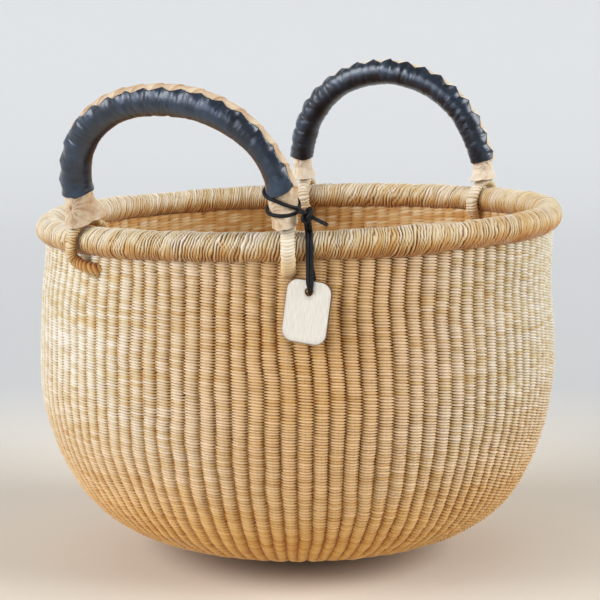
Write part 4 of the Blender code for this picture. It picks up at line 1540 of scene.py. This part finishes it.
@dataclass
class Studio:
    """The camera at the photograph's angle, a pale floor and soft window-like light."""

    azimuth: float = 27.2
    elevation: float = 7.94
    distance: float = 1.690
    focal_pixels: float = 2086.0
    aim_height: float = 0.2026
    aim_right: float = 0.0006
    image_size: int = 600
    floor_gap: float = 0.0002

    def camera(self) -> None:
        """Sets the camera from the fitted angle, distance and focal length."""
        back = towards(self.azimuth, self.elevation)
        aim = towards(self.azimuth + 90.0, 0.0) * self.aim_right
        aim.z = self.aim_height
        data = bpy.data.cameras.new("photograph_camera")
        data.sensor_width = 36.0
        data.sensor_fit = "HORIZONTAL"
        data.lens = self.focal_pixels / self.image_size * data.sensor_width
        made = add_object("photograph_camera", data)
        made.location = aim + back * self.distance
        made.rotation_euler = (-back).to_track_quat("-Z", "Y").to_euler()
        bpy.context.scene.camera = made

    def lamp(self, name: str, azimuth: float, elevation: float, spread: float,
             strength: float, code: str) -> None:
        """One broad soft light from far away.

        Args:
            name: the lamp's name.
            azimuth: degrees round from the front, towards +X.
            elevation: degrees above the floor.
            spread: how wide the light is, in degrees.
            strength: watts on a square metre that faces it.
            code: its colour.
        """
        data = bpy.data.lights.new(name, "SUN")
        data.angle = math.radians(spread)
        data.energy = strength
        data.color = linear(code)[:3]
        made = add_object(name, data)
        away = towards(azimuth, elevation)
        made.rotation_euler = (-away).to_track_quat("-Z", "Y").to_euler()

    def world(self) -> None:
        """A pale room that lights the object evenly from all sides."""
        made = bpy.data.worlds.new("pale_room")
        made.use_nodes = True
        back = made.node_tree.nodes["Background"]
        back.inputs["Color"].default_value = linear("#F6F2EC")
        back.inputs["Strength"].default_value = 0.25
        bpy.context.scene.world = made

    def floor(self) -> None:
        """A plain pale sweep: flat and a little warmer under the basket, then rising in a
        wide curve behind it."""
        flat, bend, tall, wide = 2.4, 1.6, 4.0, 9.0
        turn = np.linspace(0.0, math.pi / 2, 40)
        depth = np.concatenate([[-wide], flat + bend * np.sin(turn), [flat + bend]])
        height = np.concatenate([[0.0], bend - bend * np.cos(turn), [bend + tall]])
        forward = -np.array(towards(self.azimuth, 0.0))
        aside = np.array(towards(self.azimuth + 90.0, 0.0))
        line = depth[:, None] * forward + height[:, None] * np.array((0.0, 0.0, 1.0))
        points = np.stack([line - wide * aside, line + wide * aside], axis=1)
        mesh = surface_mesh("studio_floor", points)
        material, shader = new_material("matte_pale_board", Roughness=0.9)
        tree = material.node_tree
        place = add_node(tree, "ShaderNodeTexCoord", out="Object")
        away = add_node(tree, "ShaderNodeVectorMath", {0: place}, out="Value",
                        operation="LENGTH")
        colour = add_node(tree, "ShaderNodeValToRGB", {"Fac": away},
                          ramp=((0.34, "#E4DCCF"), (0.80, "#C5C7C8")))
        connect(shader, colour)
        mesh.materials.append(material)
        made = add_object("studio_floor", mesh)
        made.location.z = -self.floor_gap

    def build(self) -> None:
        """Sets the camera, the lamps, the world and the floor."""
        self.camera()
        self.world()
        self.floor()
        self.lamp("window_left", -46.0, 30.0, 36.0, 1.9, "#FFFFFF")
        self.lamp("window_right", 100.0, 28.0, 40.0, 2.55, "#FFFFFF")
        self.lamp("sky_panel", -16.0, 14.0, 50.0, 1.5, "#EEF3FF")
        bpy.context.scene.view_settings.view_transform = "Standard"


def main() -> None:
    """Builds the studio, the cords, the basket and its handles, logging each piece's faces."""
    logging.basicConfig(level=logging.INFO, format="%(name)s: %(message)s")
    Studio().build()
    lean = Lean()
    wall_grass = GrassFinish("twined_elephant_grass").make()
    wrap_grass = GrassFinish("wrapped_elephant_grass").make()
    navy = GoatLeather("navy_goat_leather", deep="#05080D", middle="#0B111B",
                       painted_light="#233244", roughness=0.36, coat=0.9, sheen="#CFE2FF").make()
    # the tan leather as it looks in shade, on the front cuffs and strip
    tan = GoatLeather("tan_goat_leather", deep="#9A724C", middle="#BF9C76", painted_light="#DECAAD",
                      roughness=0.6, coat=0.0, grain_mm=0.9).make()
    # a paler copy of the same tan leather, painted lighter for the light on the rear handle
    lit_tan = GoatLeather("lit_tan_goat_leather", deep="#B39270", middle="#DAC6A9",
                           painted_light="#EADDC8", roughness=0.6, coat=0.0, grain_mm=0.9).make()
    handles = {
        Place.FRONT: Handle(Place.FRONT, lean, navy, tan, wrap_grass, tilt_degrees=16.5,
                            loop_trail=0.019, loop_tones=(0.37, 0.66), loop_wraps=(46, 42),
                            loop_slants=(0.35, 1.3), loop_outer_light=(0.22, 0.10),
                            loop_shears=(0.0, 0.13), slimming=0.0036,
                            first_end_rises=(0.0008, 0.0050), cuff_extras=(0.0, 0.0068),
                            loop_grooves=(0.0014, 0.0007), loop_thickening=0.0024,
                            edge_shares=(0.0, 0.2, 0.35, 0.5, 0.62, 0.74, 0.86, 1.0),
                            near_edges=(19.0, 22.0, 31.0, 41.0, 49.0, 48.0, 35.0, 28.0),
                            far_edges=(64.0, 62.0, 57.0, 52.0, 46.0, 46.0, 54.0, 60.0),
                            leg_bows=(0.0024, 0.0),
                            cuff_drops=(0.0013, -0.0010), cuff_lean=0.26,
                            cuff_flare_share=0.8),
        Place.REAR: Handle(Place.REAR, lean, navy, lit_tan, wrap_grass, tilt_degrees=-7.5,
                           loop_yaw_degrees=12.0, slit_degrees=(92.0, 142.0), seed=300,
                           slit_height=0.0330,
                           loop_shears=(0.0, -0.16), leg_bows=(0.0026, 0.0028),
                           arch_height=0.0776, arch_power=1.0, bow_height=0.028,
                           sleeve_start=0.0335, first_end_rises=(0.0018, 0.0018),
                           sleeve_radius=0.0098, strip_radius=0.0082, end_flare=-0.0005,
                           flare_run=0.030, cuff_top_radius=0.0084, fold_depth=0.0005,
                           loop_sag=0.03, strip_rise=0.0023, cuff_yaw_degrees=4.0,
                           cuff_drops=(-0.0009, -0.0013),
                           edge_shares=(0.0, 0.5, 0.75, 1.0),
                           near_edges=(27.0, 22.0, 17.0, 15.0),
                           far_edges=(60.0, 64.0, 68.0, 70.0))}
    cord = TagCord(handles[Place.FRONT], WaxedCord().make())
    cord.build()
    HangTag(cord, CutPlywood().make()).build()
    WovenBody(lean, wall_grass).build()
    Rim(lean, wrap_grass).build()
    for handle in handles.values():
        handle.build()


if __name__ == "__main__":
    main()
